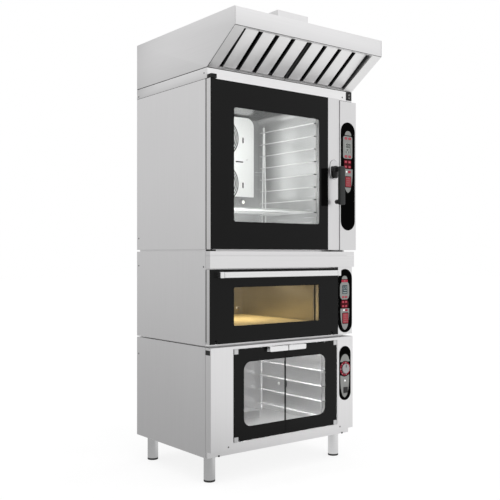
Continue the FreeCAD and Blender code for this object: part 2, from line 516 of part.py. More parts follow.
# ---------------------------------------------------------------- deck oven
xd = X_DECK - SHEET
add("deck_casing", [
    box(XL, xi0, Y_SEAM, Y_BACK, Z_DBOT, Z_DTOP), box(xd, X_DECK, Y_SEAM, Y_BACK, Z_DBOT, Z_DTOP),
    box(xi0, xd, Y_SEAM, Y_BACK - SHEET, Z_DTOP - SHEET, Z_DTOP),
    box(xi0, xd, Y_SEAM, Y_BACK - SHEET, Z_DBOT, Z_DBOT + SHEET),
    box(-440.0, 420.0, -215.0, 380.0, Z_PTOP, Z_DBOT)]
    + frame_strips(xi0, xd, Z_DBOT + SHEET, Z_DTOP - SHEET, DC[0], DC[1], DC[4], DC[5], Y_FRONT, Y_SEAM))

vis = box(XL, X_VISOR, Y_DFACE, Y_FRONT, Z_VISOR_B, Z_VISOR_T).cut(box(XL + 2, X_VISOR - 2, Y_DFACE + 2, -229.0, Z_VISOR_B + 2, Z_VISOR_T - 2))
cap = box(XL, X_VISOR, Y_DFACE + 0.6, Y_FRONT, Z_VISOR_T + 0.6, Z_DTOP).cut(box(XL + 2, X_VISOR - 2, Y_DFACE + 2.6, -229.0, Z_VISOR_T + 2.6, Z_DTOP - 2))
dcol = box(343.2, X_DECK, Y_DFACE, Y_FRONT, Z_DBOT + 8, Z_VISOR_B - 0.5).cut(box(345.2, X_DECK - 2, Y_DFACE + 2, -229.0, Z_DBOT + 10, Z_VISOR_B - 2.5))
dcol = dcol.cut(box(KEY_D[0] - 0.4, KEY_D[1] + 0.4, Y_DFACE - 1, Y_DFACE + 3, KEY_D[2] - 0.4, KEY_D[3] + 0.4))
add("deck_front_panel", [vis, cap, dcol])

dcav = liner(DC, SHEET)
add("deck_cavity", dcav)
add("deck_stone", box(DC[0] + 2, DC[1] - 2, Y_SEAM + 4, DC[3] - 2, DC[4], 728.0))

ddx1 = 342.0
DW = (-334.0, 210.0, 731.0, 917.0)
YD = Y_DFACE + 5.0
a0, a1, c0, c1 = XL, ddx1, Z_DDOOR_B, Z_DDOOR_T
df = [box(a0, a0 + 2, YD, yb, c0, c1), box(a1 - 2, a1, YD, yb, c0, c1), box(a0 + 2, a1 - 2, YD, yb, c1 - 2, c1),
      box(a0 + 2, DW[0] - 2, skin, yb, DECK_PZ + 10, c1 - 2), box(DW[1] + 2, a1 - 2, skin, yb, DECK_PZ + 10, c1 - 2),
      box(DW[0] - 2, DW[1] + 2, skin, yb, DECK_PZ + 10, DW[2] - 2), box(DW[0] - 2, DW[1] + 2, skin, yb, DW[3] + 2, c1 - 2),
      box(DW[0] - 2, DW[0], YD + 1, yb, DW[2] - 2, DW[3] + 2), box(DW[1], DW[1] + 2, YD + 1, yb, DW[2] - 2, DW[3] + 2),
      box(DW[0], DW[1], YD + 1, yb, DW[2] - 2, DW[2]), box(DW[0], DW[1], YD + 1, yb, DW[3], DW[3] + 2),
      box(KNX[0] + 20, KNX[1] - 20, skin, yb, c0 + 2, DECK_PZ + 10), box(KNX[0] + 20, KNX[1] - 20, YD, yb, c0, c0 + 2)]
for kx in KNX:
    for a, b in ((kx - 20, kx - 6), (kx + 6, kx + 20)):
        e = box(a, b, YD, yb, c0, DECK_PZ + 10)
        df.append(e.cut(cyl((kx - 18.5, DECK_PY, DECK_PZ), (1, 0, 0), 3.0 + FIT, 37.0)))
df.append(box(a0 + 2, KNX[0] - 20, skin, yb, c0, DECK_PZ + 10))
df.append(box(KNX[1] + 20, a1 - 2, skin, yb, c0, DECK_PZ + 10))
add("deck_door_frame", df)
dg = box(XL + 0.3, ddx1 - 0.3, Y_DFACE, Y_DFACE + 5, Z_DDOOR_B + 0.3, Z_DDOOR_T - 0.3)
for kx in KNX:
    dg = dg.cut(box(kx - 6, kx + 6, -275.0, -260.0, Z_DDOOR_B - 1, DECK_PZ + 10))
add("deck_door_glass", dg)

bz0, bz1 = 960.0, 989.0
bar = box(-405.8, 312.8, -299.2, -285.0, bz0 + 0.4, bz1 - 0.4)
bar = bar.makeFillet(4.5, [q for q in bar.Edges if abs(q.Vertexes[0].Point.x - q.Vertexes[1].Point.x) > 1])
bar = bar.fuse(box(-410.0, 318.0, -295.0, -289.0, bz0 + 6, bz1 - 6))
ends = []
for a, b in ((-430.0, -407.0), (314.0, 337.0)):
    e = box(a, b, -300.0, Y_DFACE, bz0, bz1)
    e = e.makeFillet(3.0, [q for q in e.Edges if abs(q.BoundBox.YMax - Y_DFACE) > 1 or q.BoundBox.YLength > 5])
    ends.append(e.cut(box(-410.0, 318.0, -295.0, -289.0, bz0 + 6, bz1 - 6)))
add("deck_handle", [bar] + ends)

# ---------------------------------------------------------------- prover
add("prover_casing", [
    box(XL, xi0, Y_SEAM, Y_BACK, Z_PBOT, Z_PTOP), box(xd, X_DECK, Y_SEAM, Y_BACK, Z_PBOT, Z_PTOP),
    box(xi0, xd, Y_SEAM, Y_BACK - SHEET, Z_PTOP - SHEET, Z_PTOP),
    box(xi0, xd, Y_BACK - SHEET, Y_BACK, Z_PBOT, Z_PTOP - SHEET)])
pfo = (-340.0, 331.5, 185.0, 625.5)


def front_box(x0, x1, z0, z1):
    return box(x0, x1, Y_PFACE, Y_FRONT, z0, z1).cut(box(x0 + 2, x1 - 2, Y_PFACE + 2, -229.0, z0 + 2, z1 - 2))


pr = front_box(pfo[1], X_DECK, Z_PFBOT, Z_PTOP)
pr = pr.cut(cyl((388.0, -280.0, 471.0), (0, 1, 0), 3.0 + FIT, 10.0))
pr = pr.cut(box(373.4, 405.6, -280.0, -270.0, 341.5, 375.5))
bottom = front_box(pfo[0], pfo[1], Z_PFBOT, pfo[2])
top = front_box(pfo[0], pfo[1], pfo[3], Z_PTOP)
for px in (PD_L, PD_R):
    bottom = bottom.cut(cyl((px, PD_Y, pfo[2] - 5), (0, 0, 1), 3.0 + FIT, 10.0))
    top = top.cut(cyl((px, PD_Y, pfo[3] - 3), (0, 0, 1), 3.0 + FIT, 10.0))
add("prover_front_panel", [front_box(XL, pfo[0], Z_PFBOT, Z_PTOP), pr, bottom, top])

add("prover_chamber", liner(PC, 1.5) + frame_strips(pfo[0], pfo[1], pfo[2], pfo[3], PC[0], PC[1], PC[4] + 6, PC[5], Y_FRONT, -230.0))

GZ0, GZ1 = 187.0, 623.5
SPLIT = -19.5


def pglass(x0, x1):
    return rrect_xz(x0, x1, GZ0, GZ1, 2.0, Y_PFACE, Y_PFACE + 8)


add("prover_door_left", pglass(-335.5, SPLIT - 1.5))
add("prover_door_right", pglass(SPLIT + 1.5, 327.0))


def corner(px, sgn, z0, z1, pin_z, pin_h):
    x0, x1 = (px - 3.0, px + 20.0) if sgn > 0 else (px - 20.0, px + 3.0)
    s = box(x0, x1, Y_PFACE - 2.0, Y_PFACE, z0, z1)
    return s.fuse(box(x0, x1, Y_PFACE + 8, Y_PFACE + 10, z0, z1)), cyl((px, PD_Y, pin_z), (0, 0, 1), 3.0, pin_h)


def corners(px, sgn):
    out = []
    for top_ in (True, False):
        z0, z1 = (GZ1 - 23, GZ1) if top_ else (GZ0, GZ0 + 23)
        x0, x1 = (px - 3.0, px + 20.0) if sgn > 0 else (px - 20.0, px + 3.0)
        z2 = (GZ1, GZ1 + 1.0) if top_ else (GZ0 - 1.0, GZ0)
        s = box(x0, x1, Y_PFACE - 2.0, Y_PFACE, min(z0, z2[0]), max(z1, z2[1]))
        s = s.fuse(box(x0, x1, Y_PFACE, Y_PFACE + 8, *z2))
        s = s.fuse(box(x0, x1, Y_PFACE + 8, Y_PFACE + 10, min(z0, z2[0]), max(z1, z2[1])))
        pz = GZ1 + 0.5 if top_ else GZ0 - 6.0
        s = s.fuse(cyl((px, PD_Y, pz), (0, 0, 1), 3.0, 5.5))
        out.append(s)
    return out


add("prover_hinges_left", corners(PD_L, 1))
add("prover_hinges_right", corners(PD_R, -1))


def pull(x0, x1, sgn):
    """folded finger pull: plate on the glass, flange forward, plate down in front"""
    f = box(x0, x1, Y_PFACE - 23.5, Y_PFACE - 22.0, 599.5, GZ1)
    xc = x0 if sgn < 0 else x1
    f = f.makeFillet(6.0, [e for e in f.Edges if e.BoundBox.XLength < 1e-6 and e.BoundBox.ZLength < 1e-6
                           and abs(e.BoundBox.XMin - xc) < 1e-6 and abs(e.BoundBox.ZMin - 599.5) < 1e-6])
    return [box(x0, x1, Y_PFACE - 1.5, Y_PFACE, 600.0, GZ1),
            box(x0, x1, Y_PFACE - 22.0, Y_PFACE - 1.5, GZ1 - 1.5, GZ1), f]


add("prover_handle_left", pull(-137.0, SPLIT - 3.0, -1))
add("prover_handle_right", pull(SPLIT + 3.0, 95.0, 1))

tray = [box(-150, 150, 150, 330, 180.0, 182.0), box(-150, -148, 150, 330, 182.0, 216.0), box(148, 150, 150, 330, 182.0, 216.0),
        box(-148, 148, 150, 152, 182.0, 216.0), box(-148, 148, 328, 330, 182.0, 216.0),
        rod((-148.0, 300.0, 192.0), (148.0, 300.0, 192.0), 4.0)]
add("humidifier_tray", tray)

kb = cyl((388.0, -285.0, 471.0), (0, 1, 0), 26.0, 8.0)
kb = kb.makeFillet(2.5, [e for e in kb.Edges if abs(e.BoundBox.YMin + 285.0) < 1e-6 and abs(e.BoundBox.YMax + 285.0) < 1e-6])
kb = kb.fuse(box(386.4, 389.6, -286.2, -283.5, 476.0, 493.0))
kb = kb.fuse(cyl((388.0, -280.0, 471.0), (0, 1, 0), 3.0, 12.0))
add("prover_knob", kb)
prk = box(374.6, 404.4, -280.6, -268.0, 343.2, 373.8)
prk = prk.makeFillet(2.0, [e for e in prk.Edges if abs(e.Vertexes[0].Point.y + 280.6) < 1e-3 and abs(e.Vertexes[1].Point.y + 280.6) < 1e-3])
add("prover_rocker", prk)

# ---------------------------------------------------------------- base
bx = [box(XL + 2.2, xd - 0.2, -243.0, -241.0, Z_PBOT, 156.0),
      box(XL + 2.2, xd - 0.2, 400.0, 402.0, Z_PBOT, 156.0),
      box(XL + 2.2, XL + 4.2, -241.0, 400.0, Z_PBOT, 156.0), box(xd - 2.2, xd - 0.2, -241.0, 400.0, Z_PBOT, 156.0),
      box(XL + 2.2, xd - 0.2, -229.5, 402.0, 156.0, 158.0)]
for (x, y) in LEGS:
    bx.append(box(x - 38, x + 38, y - 38, y + 38, 152.0, 156.0))
add("base_frame", bx)

add("legs", [tube((x, y, 10.0), (0, 0, 1), LEG_R, LEG_R - 2.0, 142.0) for x, y in LEGS])
feet = []
for x, y in LEGS:
    f = cyl((x, y, 0.0), (0, 0, 1), LEG_R, 10.0)
    f = f.makeFillet(2.0, [e for e in f.Edges if abs(e.BoundBox.ZMax) < 1e-6])
    feet.append(f.fuse(cyl((x, y, 10.0), (0, 0, 1), LEG_R - 2.0, 22.0)))
add("rubber_feet", feet)

# ---------------------------------------------------------------- fasteners and services
scr = []


def side_screw(y, z, right=False):
    """countersunk head, flush with the side sheet"""
    x = XL if not right else ((XR if z > Z_DTOP else X_DECK) - SHEET)
    return cyl((x, y, z), (1, 0, 0), 4.2, SHEET)


SIDE = ((-219.7, 1912.4), (388.0, 1896.3), (387.0, 1153.7), (387.0, 1011.6), (-214.8, 1011.9), (388.0, 551.1))
for y, z in SIDE:
    scr += [side_screw(y, z), side_screw(y, z, True)]
for (x, y, z) in ((399.1, Y_BAND, 1902.0), (-368.2, Y_PFACE, 170.5), (351.6, Y_PFACE, 170.5)):
    s = cyl((x, y - 1.6, z), (0, 1, 0), 4.2, 1.6)
    scr.append(s.makeFillet(0.8, [e for e in s.Edges if abs(e.BoundBox.YMin - (y - 1.6)) < 1e-6 and abs(e.BoundBox.YMax - (y - 1.6)) < 1e-6]))
for (x, z) in ((-440, 1860), (440, 1860), (-440, 1120), (440, 1120), (-440, 1060), (415, 1060), (-440, 670), (415, 670)):
    scr.append(cyl((x, Y_BACK, z), (0, 1, 0), 4.2, 1.6))
add("casing_screws", scr)
for nm in ("hood_base_band", "oven_casing", "deck_casing", "prover_casing"):
    for k in (0, 1):
        q = NODES[nm][k]
        for y, z in SIDE:
            t = side_screw(y, z, k == 1)
            if q.BoundBox.intersect(t.BoundBox) and q.common(t).Volume > 1e-6:
                q = q.cut(t)
        NODES[nm][k] = q

vent = cyl((200.0, OC[3] - 6.0, 1800.0), (0, 1, 0), 19.4, Y_BACK - OC[3] + 6.0).fuse(
    cyl((200.0, Y_BACK, 1800.0), (0, 1, 0), 20.0, YS - Y_BACK)).cut(
    cyl((200.0, OC[3] - 7.0, 1800.0), (0, 1, 0), 18.5, YS - OC[3] + 8.0))
inlet = tube((330.0, Y_BACK - 20, 1150.0), (0, 1, 0), 13.2, 9.0, 54.0).fuse(
    tube((330.0, Y_BACK, 1150.0), (0, 1, 0), 17.0, 13.2, 8.0))
add("rear_pipes", [vent, inlet])
hexa = Part.Face(Part.makePolygon([V(390.0 + 16.0 * math.cos(math.radians(60 * k)), Y_BACK, 1150.0 + 16.0 * math.sin(math.radians(60 * k))) for k in range(7)])).extrude(V(0, 8, 0))
gl = hexa.fuse(cyl((390.0, Y_BACK - 12, 1150.0), (0, 1, 0), 12.5, 12.0)).fuse(cyl((390.0, Y_BACK + 8, 1150.0), (0, 1, 0), 13.5, 18.0))
gl = gl.cut(cyl((390.0, Y_BACK - 13, 1150.0), (0, 1, 0), 7.0, 45.0))
add("cable_gland", gl)

# ---------------------------------------------------------------- write
for name, solids in NODES.items():
    for s in solids:
        if not s.isValid() or len(s.Solids) != 1:
            print("CHECK", name, s.ShapeType, s.isValid(), len(s.Solids))
    shp = solids[0] if len(solids) == 1 else Part.makeCompound(solids)
    shp.exportStep("parts/%s.step" % name)
bb_ = None
for name, solids in NODES.items():
    for s in solids:
        b = s.BoundBox
        bb_ = b if bb_ is None else bb_.united(b)
print("nodes", len(NODES), "box", [round(v, 2) for v in (bb_.XMin, bb_.XMax, bb_.YMin, bb_.YMax, bb_.ZMin, bb_.ZMax)])
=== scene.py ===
import bpy, bmesh, math
from mathutils import Vector, Matrix


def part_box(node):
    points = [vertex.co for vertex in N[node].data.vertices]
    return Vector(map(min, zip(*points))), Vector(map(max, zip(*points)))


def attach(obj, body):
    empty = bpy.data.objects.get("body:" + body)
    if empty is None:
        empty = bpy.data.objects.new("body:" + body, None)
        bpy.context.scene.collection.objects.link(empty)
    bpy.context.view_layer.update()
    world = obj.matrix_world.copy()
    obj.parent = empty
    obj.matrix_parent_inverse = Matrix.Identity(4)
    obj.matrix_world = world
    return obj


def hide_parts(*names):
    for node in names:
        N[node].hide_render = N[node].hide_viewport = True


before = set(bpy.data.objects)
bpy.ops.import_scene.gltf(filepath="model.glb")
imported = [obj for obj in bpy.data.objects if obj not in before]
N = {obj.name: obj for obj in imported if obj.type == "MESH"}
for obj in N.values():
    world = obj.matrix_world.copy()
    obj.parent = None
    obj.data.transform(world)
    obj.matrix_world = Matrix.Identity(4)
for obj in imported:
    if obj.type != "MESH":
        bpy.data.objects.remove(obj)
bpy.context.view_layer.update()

MM = 0.001

# ------------------------------------------------------------------ camera
scene = bpy.context.scene
scene.view_settings.view_transform = "Standard"
scene.view_settings.look = "None"
cd = bpy.data.cameras.new("cam")
cam = bpy.data.objects.new("cam", cd)
scene.collection.objects.link(cam)
cam.location = (-2.5386, -3.2654, 1.067)
cam.rotation_euler = (math.radians(90), 0, math.radians(-38.25))
cd.sensor_width = 36.0
cd.lens = 56.98
cd.shift_x = -0.02
cd.shift_y = 0.0102
cd.clip_start, cd.clip_end = 0.05, 200
scene.camera = cam

# ------------------------------------------------------------------ world and lights
world = bpy.data.worlds.new("studio")
scene.world = world
world.use_nodes = True
wn, wl = world.node_tree.nodes, world.node_tree.links
wn.clear()


def wnode(kind, **kw):
    n = wn.new(kind)
    for k, v in kw.items():
        setattr(n, k, v)
    return n


def wmath(op, x, y):
    n = wnode("ShaderNodeMath", operation=op)
    for i, v in enumerate((x, y)):
        if isinstance(v, (int, float)):
            n.inputs[i].default_value = v
        else:
            wl.new(v, n.inputs[i])
    return n.outputs[0]


def wramp(fac, stops, lo=-1.0, hi=1.0):
    m = wnode("ShaderNodeMapRange")
    m.inputs["From Min"].default_value = lo
    m.inputs["From Max"].default_value = hi
    wl.new(fac, m.inputs["Value"])
    r = wnode("ShaderNodeValToRGB")
    wl.new(m.outputs["Result"], r.inputs["Fac"])
    cr = r.color_ramp
    t0, v0 = stops[0]
    t1, v1 = stops[-1]
    cr.elements[0].position = (t0 - lo) / (hi - lo)
    cr.elements[0].color = (v0, v0, v0, 1)
    cr.elements[1].position = (t1 - lo) / (hi - lo)
    cr.elements[1].color = (v1, v1, v1, 1)
    for t, v in stops[1:-1]:
        e_ = cr.elements.new((t - lo) / (hi - lo))
        e_.color = (v, v, v, 1)
    return r.outputs["Color"]


# a bright studio in front and to the right, a dimmer wall behind on the left
tc = wnode("ShaderNodeTexCoord")
sx = wnode("ShaderNodeSeparateXYZ")
wl.new(tc.outputs["Generated"], sx.inputs[0])
side_t = wmath("SUBTRACT", wmath("MULTIPLY", sx.outputs["X"], 0.5), wmath("MULTIPLY", sx.outputs["Y"], 0.87))
front_c = wramp(sx.outputs["Z"], [(-0.2, 0.86), (0.02, 0.86), (0.22, 0.99), (1.0, 1.0)])
left_c = wramp(sx.outputs["Z"], [(-0.3, 0.55), (0.0, 0.66), (0.10, 0.70), (0.26, 0.79), (1.0, 0.9)])
wmix = wnode("ShaderNodeMix", data_type="RGBA")
fac_t = wnode("ShaderNodeMapRange", interpolation_type="SMOOTHSTEP")
fac_t.inputs["From Min"].default_value = -0.6
fac_t.inputs["From Max"].default_value = 0.1
wl.new(side_t, fac_t.inputs["Value"])
wl.new(fac_t.outputs["Result"], wmix.inputs[0])
wl.new(left_c, [i for i in wmix.inputs if i.name == "A" and i.type == "RGBA"][0])
wl.new(front_c, [i for i in wmix.inputs if i.name == "B" and i.type == "RGBA"][0])
# the room straight behind the object is dim, so round bars get dark rims
back_d = wmath("ADD", wmath("MULTIPLY", sx.outputs["X"], 0.62), wmath("MULTIPLY", sx.outputs["Y"], 0.785))
back_m = wnode("ShaderNodeMapRange", interpolation_type="SMOOTHSTEP")
back_m.inputs["From Min"].default_value = 0.55
back_m.inputs["From Max"].default_value = 0.85
back_m.inputs["To Min"].default_value = 1.0
back_m.inputs["To Max"].default_value = 0.30
wl.new(back_d, back_m.inputs["Value"])
wdim = wnode("ShaderNodeMix", data_type="RGBA", blend_type="MULTIPLY")
wdim.inputs[0].default_value = 1.0
wl.new([o for o in wmix.outputs if o.type == "RGBA"][0], [i for i in wdim.inputs if i.name == "A" and i.type == "RGBA"][0])
wl.new(back_m.outputs["Result"], [i for i in wdim.inputs if i.name == "B" and i.type == "RGBA"][0])
wb = wnode("ShaderNodeBackground")
wl.new([o for o in wdim.outputs if o.type == "RGBA"][0], wb.inputs["Color"])
wwhite = wnode("ShaderNodeBackground")
wwhite.inputs["Color"].default_value = (1, 1, 1, 1)
lp = wnode("ShaderNodeLightPath")
wms = wnode("ShaderNodeMixShader")
wo = wnode("ShaderNodeOutputWorld")
wl.new(lp.outputs["Is Camera Ray"], wms.inputs[0])
wl.new(wb.outputs[0], wms.inputs[1])
wl.new(wwhite.outputs[0], wms.inputs[2])
wl.new(wms.outputs[0], wo.inputs[0])


def area(name, loc, target, size, power, size_y=None, color=(1, 1, 1)):
    d = bpy.data.lights.new(name, "AREA")
    d.shape = "RECTANGLE"
    d.size = size
    d.size_y = size_y or size
    d.energy = power
    d.color = color
    o = bpy.data.objects.new(name, d)
    scene.collection.objects.link(o)
    o.location = loc
    o.rotation_mode = "QUATERNION"
    o.rotation_quaternion = (Vector(target) - Vector(loc)).to_track_quat("-Z", "Y")
    return o


area("top", (0.3, -0.6, 5.0), (0, 0, 0), 3.5, 22)


# ------------------------------------------------------------------ material helpers
def new_mat(name):
    m = bpy.data.materials.new(name)
    m.use_nodes = True
    n, l = m.node_tree.nodes, m.node_tree.links
    n.clear()
    out = n.new("ShaderNodeOutputMaterial")
    p = n.new("ShaderNodeBsdfPrincipled")
    l.new(p.outputs[0], out.inputs[0])
    return m, n, l, p, out


def coords(n, l, scale=(1, 1, 1), rot=(0, 0, 0)):
    t = n.new("ShaderNodeTexCoord")
    mp = n.new("ShaderNodeMapping")
    mp.inputs["Scale"].default_value = scale
    mp.inputs["Rotation"].default_value = rot
    l.new(t.outputs["Object"], mp.inputs["Vector"])
    return mp.outputs["Vector"]


def noise(n, l, vec, scale, detail=2.0, rough=0.5):
    t = n.new("ShaderNodeTexNoise")
    t.inputs["Scale"].default_value = scale
    t.inputs["Detail"].default_value = detail
    t.inputs["Roughness"].default_value = rough
    l.new(vec, t.inputs["Vector"])
    return t.outputs["Fac"]


def ramp2(n, l, fac, a, b, p0=0.3, p1=0.7):
    r = n.new("ShaderNodeValToRGB")
    r.color_ramp.elements[0].position = p0
    r.color_ramp.elements[0].color = (*a, 1)
    r.color_ramp.elements[1].position = p1
    r.color_ramp.elements[1].color = (*b, 1)
    l.new(fac, r.inputs["Fac"])
    return r.outputs["Color"]


def mapr(n, l, fac, a, b):
    r = n.new("ShaderNodeMapRange")
    r.inputs["To Min"].default_value = a
    r.inputs["To Max"].default_value = b
    l.new(fac, r.inputs["Value"])
    return r.outputs["Result"]


def bump(n, l, p, h, strength, dist):
    b = n.new("ShaderNodeBump")
    b.inputs["Strength"].default_value = strength
    b.inputs["Distance"].default_value = dist
    l.new(h, b.inputs["Height"])
    l.new(b.outputs["Normal"], p.inputs["Normal"])


def brushed(name, base, rough, grain=(3, 3, 700), metallic=1.0, spread=0.03, bmp=0.04):
    """brushed stainless: long fine streaks, slow clouding, slight roughness change"""
    m, n, l, p, _ = new_mat(name)
    v = coords(n, l, grain)
    streak = noise(n, l, v, 1.0, 3.0, 0.6)
    v2 = coords(n, l, (1, 1, 1))
    cloud = noise(n, l, v2, 2.2, 3.0, 0.5)
    mx = n.new("ShaderNodeMix")
    mx.data_type = "FLOAT"
    mx.inputs["Factor"].default_value = 0.35
    l.new(streak, mx.inputs["A"])
    l.new(cloud, mx.inputs["B"])
    f = mx.outputs["Result"]
    a = tuple(c * (1 - spread) for c in base)
    b = tuple(min(1, c * (1 + spread)) for c in base)
    l.new(ramp2(n, l, f, a, b), p.inputs["Base Color"])
    l.new(mapr(n, l, f, rough - 0.05, rough + 0.05), p.inputs["Roughness"])
    p.inputs["Metallic"].default_value = metallic
    bump(n, l, p, streak, bmp, 0.0002)
    return m


def plain(name, base, rough, metallic=0.0, scale=60, spread=0.12, bmp=0.1, dist=0.0003, coat=0.0, spec=0.5, emit=None, es=0.0):
    """moulded or painted surface with fine texture"""
    m, n, l, p, _ = new_mat(name)
    v = coords(n, l)
    f = noise(n, l, v, scale, 4.0, 0.6)
    a = tuple(c * (1 - spread) for c in base)
    b = tuple(min(1, c * (1 + spread)) for c in base)
    l.new(ramp2(n, l, f, a, b), p.inputs["Base Color"])
    l.new(mapr(n, l, f, max(0.02, rough - 0.05), rough + 0.05), p.inputs["Roughness"])
    p.inputs["Metallic"].default_value = metallic
    p.inputs["Coat Weight"].default_value = coat
    p.inputs["Coat Roughness"].default_value = 0.05
    p.inputs["Specular IOR Level"].default_value = spec
    if emit:
        p.inputs["Emission Color"].default_value = (*emit, 1)
        p.inputs["Emission Strength"].default_value = es
    if bmp:
        bump(n, l, p, noise(n, l, v, scale * 20, 2.0, 0.5), bmp, dist)
    return m


def pane(name, tint, rough=0.02, smear=0.02):
    """clear toughened glass: see-through film with Fresnel gloss and a faint haze"""
    m = bpy.data.materials.new(name)
    m.use_nodes = True
    n, l = m.node_tree.nodes, m.node_tree.links
    n.clear()
    out = n.new("ShaderNodeOutputMaterial")
    tr = n.new("ShaderNodeBsdfTransparent")
    gl = n.new("ShaderNodeBsdfGlossy")
    fr = n.new("ShaderNodeFresnel")
    fr.inputs["IOR"].default_value = 1.13
    mx = n.new("ShaderNodeMixShader")
    v = coords(n, l)
    f = noise(n, l, v, 4.0, 3.0, 0.5)
    l.new(ramp2(n, l, f, tuple(c - smear for c in tint), tint), tr.inputs["Color"])
    l.new(mapr(n, l, f, rough, rough + 0.02), gl.inputs["Roughness"])
    gl.inputs["Color"].default_value = (0.9, 0.9, 0.9, 1)
    l.new(fr.outputs[0], mx.inputs[0])
    l.new(tr.outputs[0], mx.inputs[1])
    l.new(gl.outputs[0], mx.inputs[2])
    l.new(mx.outputs[0], out.inputs[0])
    return m


M = {}
M["steel_v"] = brushed("steel_vertical_grain", (0.80, 0.795, 0.80), 0.34, (420, 420, 2.5))
M["steel_h"] = brushed("steel_level_grain", (0.80, 0.795, 0.80), 0.34, (2.5, 2.5, 420))
M["steel_top"] = brushed("steel_top", (0.80, 0.795, 0.80), 0.38, (2.5, 420, 420))
M["steel_slant"] = brushed("steel_filter", (0.90, 0.895, 0.895), 0.40, (3, 300, 300))
# very dark copy of the filter steel: painted shade on the filter flanges and frame sides
M["steel_flange_shade"] = brushed("steel_filter_flange_shade", (0.075, 0.075, 0.076), 0.5, (300, 3, 3), 0.25, 0.10)
M["liner"] = brushed("steel_liner", (0.74, 0.74, 0.745), 0.26, (3, 3, 260), 0.62, 0.04)
# dark copy of the liner steel: painted shade on the cavity roof
M["liner_roof_shade"] = brushed("steel_roof_shade", (0.27, 0.27, 0.27), 0.22, (3, 260, 3), 1.0, 0.04)
M["liner_warm"] = brushed("steel_liner_deck", (0.50, 0.48, 0.44), 0.36, (3, 3, 200), 1.0, 0.05)
M["chamber"] = brushed("steel_chamber", (0.80, 0.80, 0.80), 0.34, (3, 3, 200), 1.0, 0.04)
M["baffle"] = brushed("steel_baffle", (0.94, 0.94, 0.94), 0.5, (2.5, 2.5, 300), 0.2, 0.01)
M["wire"] = brushed("polished_wire", (0.96, 0.96, 0.96), 0.22, (60, 60, 60), 0.45, 0.03, 0.02)
M["rosette"] = brushed("polished_rosette", (0.66, 0.66, 0.665), 0.16, (8, 8, 200), 1.0, 0.04, 0.02)
# darker copy of the casing steel: painted shade on the control column and the door frames
M["steel_door"] = brushed("steel_door_grain_painted_shade", (0.725, 0.72, 0.725), 0.34, (420, 420, 2.5))
# darker copy of the casing steel: painted shade on the deck oven's front panel
M["steel_visor"] = brushed("steel_visor_grain_painted_shade", (0.765, 0.76, 0.765), 0.34, (2.5, 2.5, 420))
# lighter copy of the casing steel: painted light on the front and back of the hood band
M["steel_band"] = brushed("steel_band_grain_painted_light", (0.87, 0.865, 0.87), 0.34, (2.5, 2.5, 420))
M["clip"] = brushed("clip_steel", (0.60, 0.60, 0.605), 0.3, (60, 60, 300), 1.0, 0.05, 0.04)
M["dial"] = brushed("turned_dial", (0.40, 0.40, 0.405), 0.34, (200, 200, 200), 0.9, 0.08, 0.05)
M["polished"] = brushed("polished_steel", (0.84, 0.84, 0.845), 0.12, (8, 8, 200), 1.0, 0.03, 0.02)
M["satin"] = brushed("satin_steel", (0.82, 0.82, 0.82), 0.24, (2.5, 2.5, 300), 1.0, 0.03, 0.04)
M["frit"] = plain("black_glass_print", (0.0036, 0.0036, 0.0036), 0.06, 0.0, 12, 0.08, 0.0, coat=0.0, spec=0.15)
M["glass"] = pane("clear_glass", (0.97, 0.975, 0.97))
M["glass_inner"] = pane("inner_glass", (0.96, 0.965, 0.96))
M["glass_deck"] = pane("deck_glass", (0.93, 0.92, 0.90))
M["glass_prover"] = pane("prover_glass", (0.92, 0.92, 0.92))
M["black"] = plain("black_plastic", (0.012, 0.012, 0.012), 0.38, 0.0, 90, 0.15, 0.15, 0.0002, spec=0.35)
M["grip"] = plain("grip_plastic", (0.020, 0.021, 0.021), 0.42, 0.0, 90, 0.12, 0.2, 0.0002, spec=0.35)
M["black_gloss"] = plain("black_membrane", (0.0009, 0.0009, 0.0009), 0.45, 0.0, 40, 0.1, 0.05, 0.0001, spec=0.012)
M["bracket"] = plain("black_coated_steel", (0.006, 0.006, 0.006), 0.42, 0.0, 80, 0.2, 0.12, spec=0.2)
M["rubber"] = plain("black_rubber", (0.03, 0.03, 0.03), 0.7, 0.0, 120, 0.25, 0.3)
M["gasket"] = plain("silicone_seal", (0.05, 0.05, 0.05), 0.6, 0.0, 90, 0.2, 0.2)
# near-black strips put in and behind gaps: painted shade of the gaps
M["seal_black"] = plain("black_gap_shade", (0.004, 0.004, 0.004), 0.8, 0.0, 90, 0.2, 0.2, spec=0.1)
M["motor"] = plain("motor_enamel", (0.03, 0.032, 0.035), 0.45, 0.2, 70, 0.2, 0.15)
M["alu"] = brushed("cast_aluminium", (0.72, 0.72, 0.73), 0.42, (30, 30, 30), 1.0, 0.06, 0.1)
M["element"] = brushed("heated_sheath", (0.30, 0.25, 0.22), 0.5, (80, 80, 80), 0.9, 0.2, 0.1)
M["stone"] = plain("baking_stone", (0.88, 0.74, 0.44), 0.9, 0.0, 35, 0.12, 0.5, 0.0006)
M["wool"] = plain("mineral_wool", (0.72, 0.66, 0.42), 0.95, 0.0, 140, 0.3, 0.9, 0.002)
M["grey_print"] = plain("grey_print", (0.30, 0.305, 0.295), 0.45, 0.0, 60, 0.06, 0.05, spec=0.2)
M["red_print"] = plain("red_print", (0.42, 0.022, 0.05), 0.40, 0.0, 60, 0.12, 0.05, spec=0.2)
M["pink_print"] = plain("pink_print", (0.55, 0.22, 0.24), 0.45, 0.0, 60, 0.08, 0.05, spec=0.2)
M["red_key"] = plain("red_key", (0.36, 0.030, 0.045), 0.34, 0.0, 60, 0.1, 0.05, coat=0.1, spec=0.3)
M["dark_red"] = plain("dark_red", (0.055, 0.001, 0.003), 0.4, 0.0, 60, 0.12, 0.05, spec=0.1)
M["lcd"] = plain("lcd", (0.36, 0.38, 0.36), 0.22, 0.0, 30, 0.05, 0.0, coat=0.3)
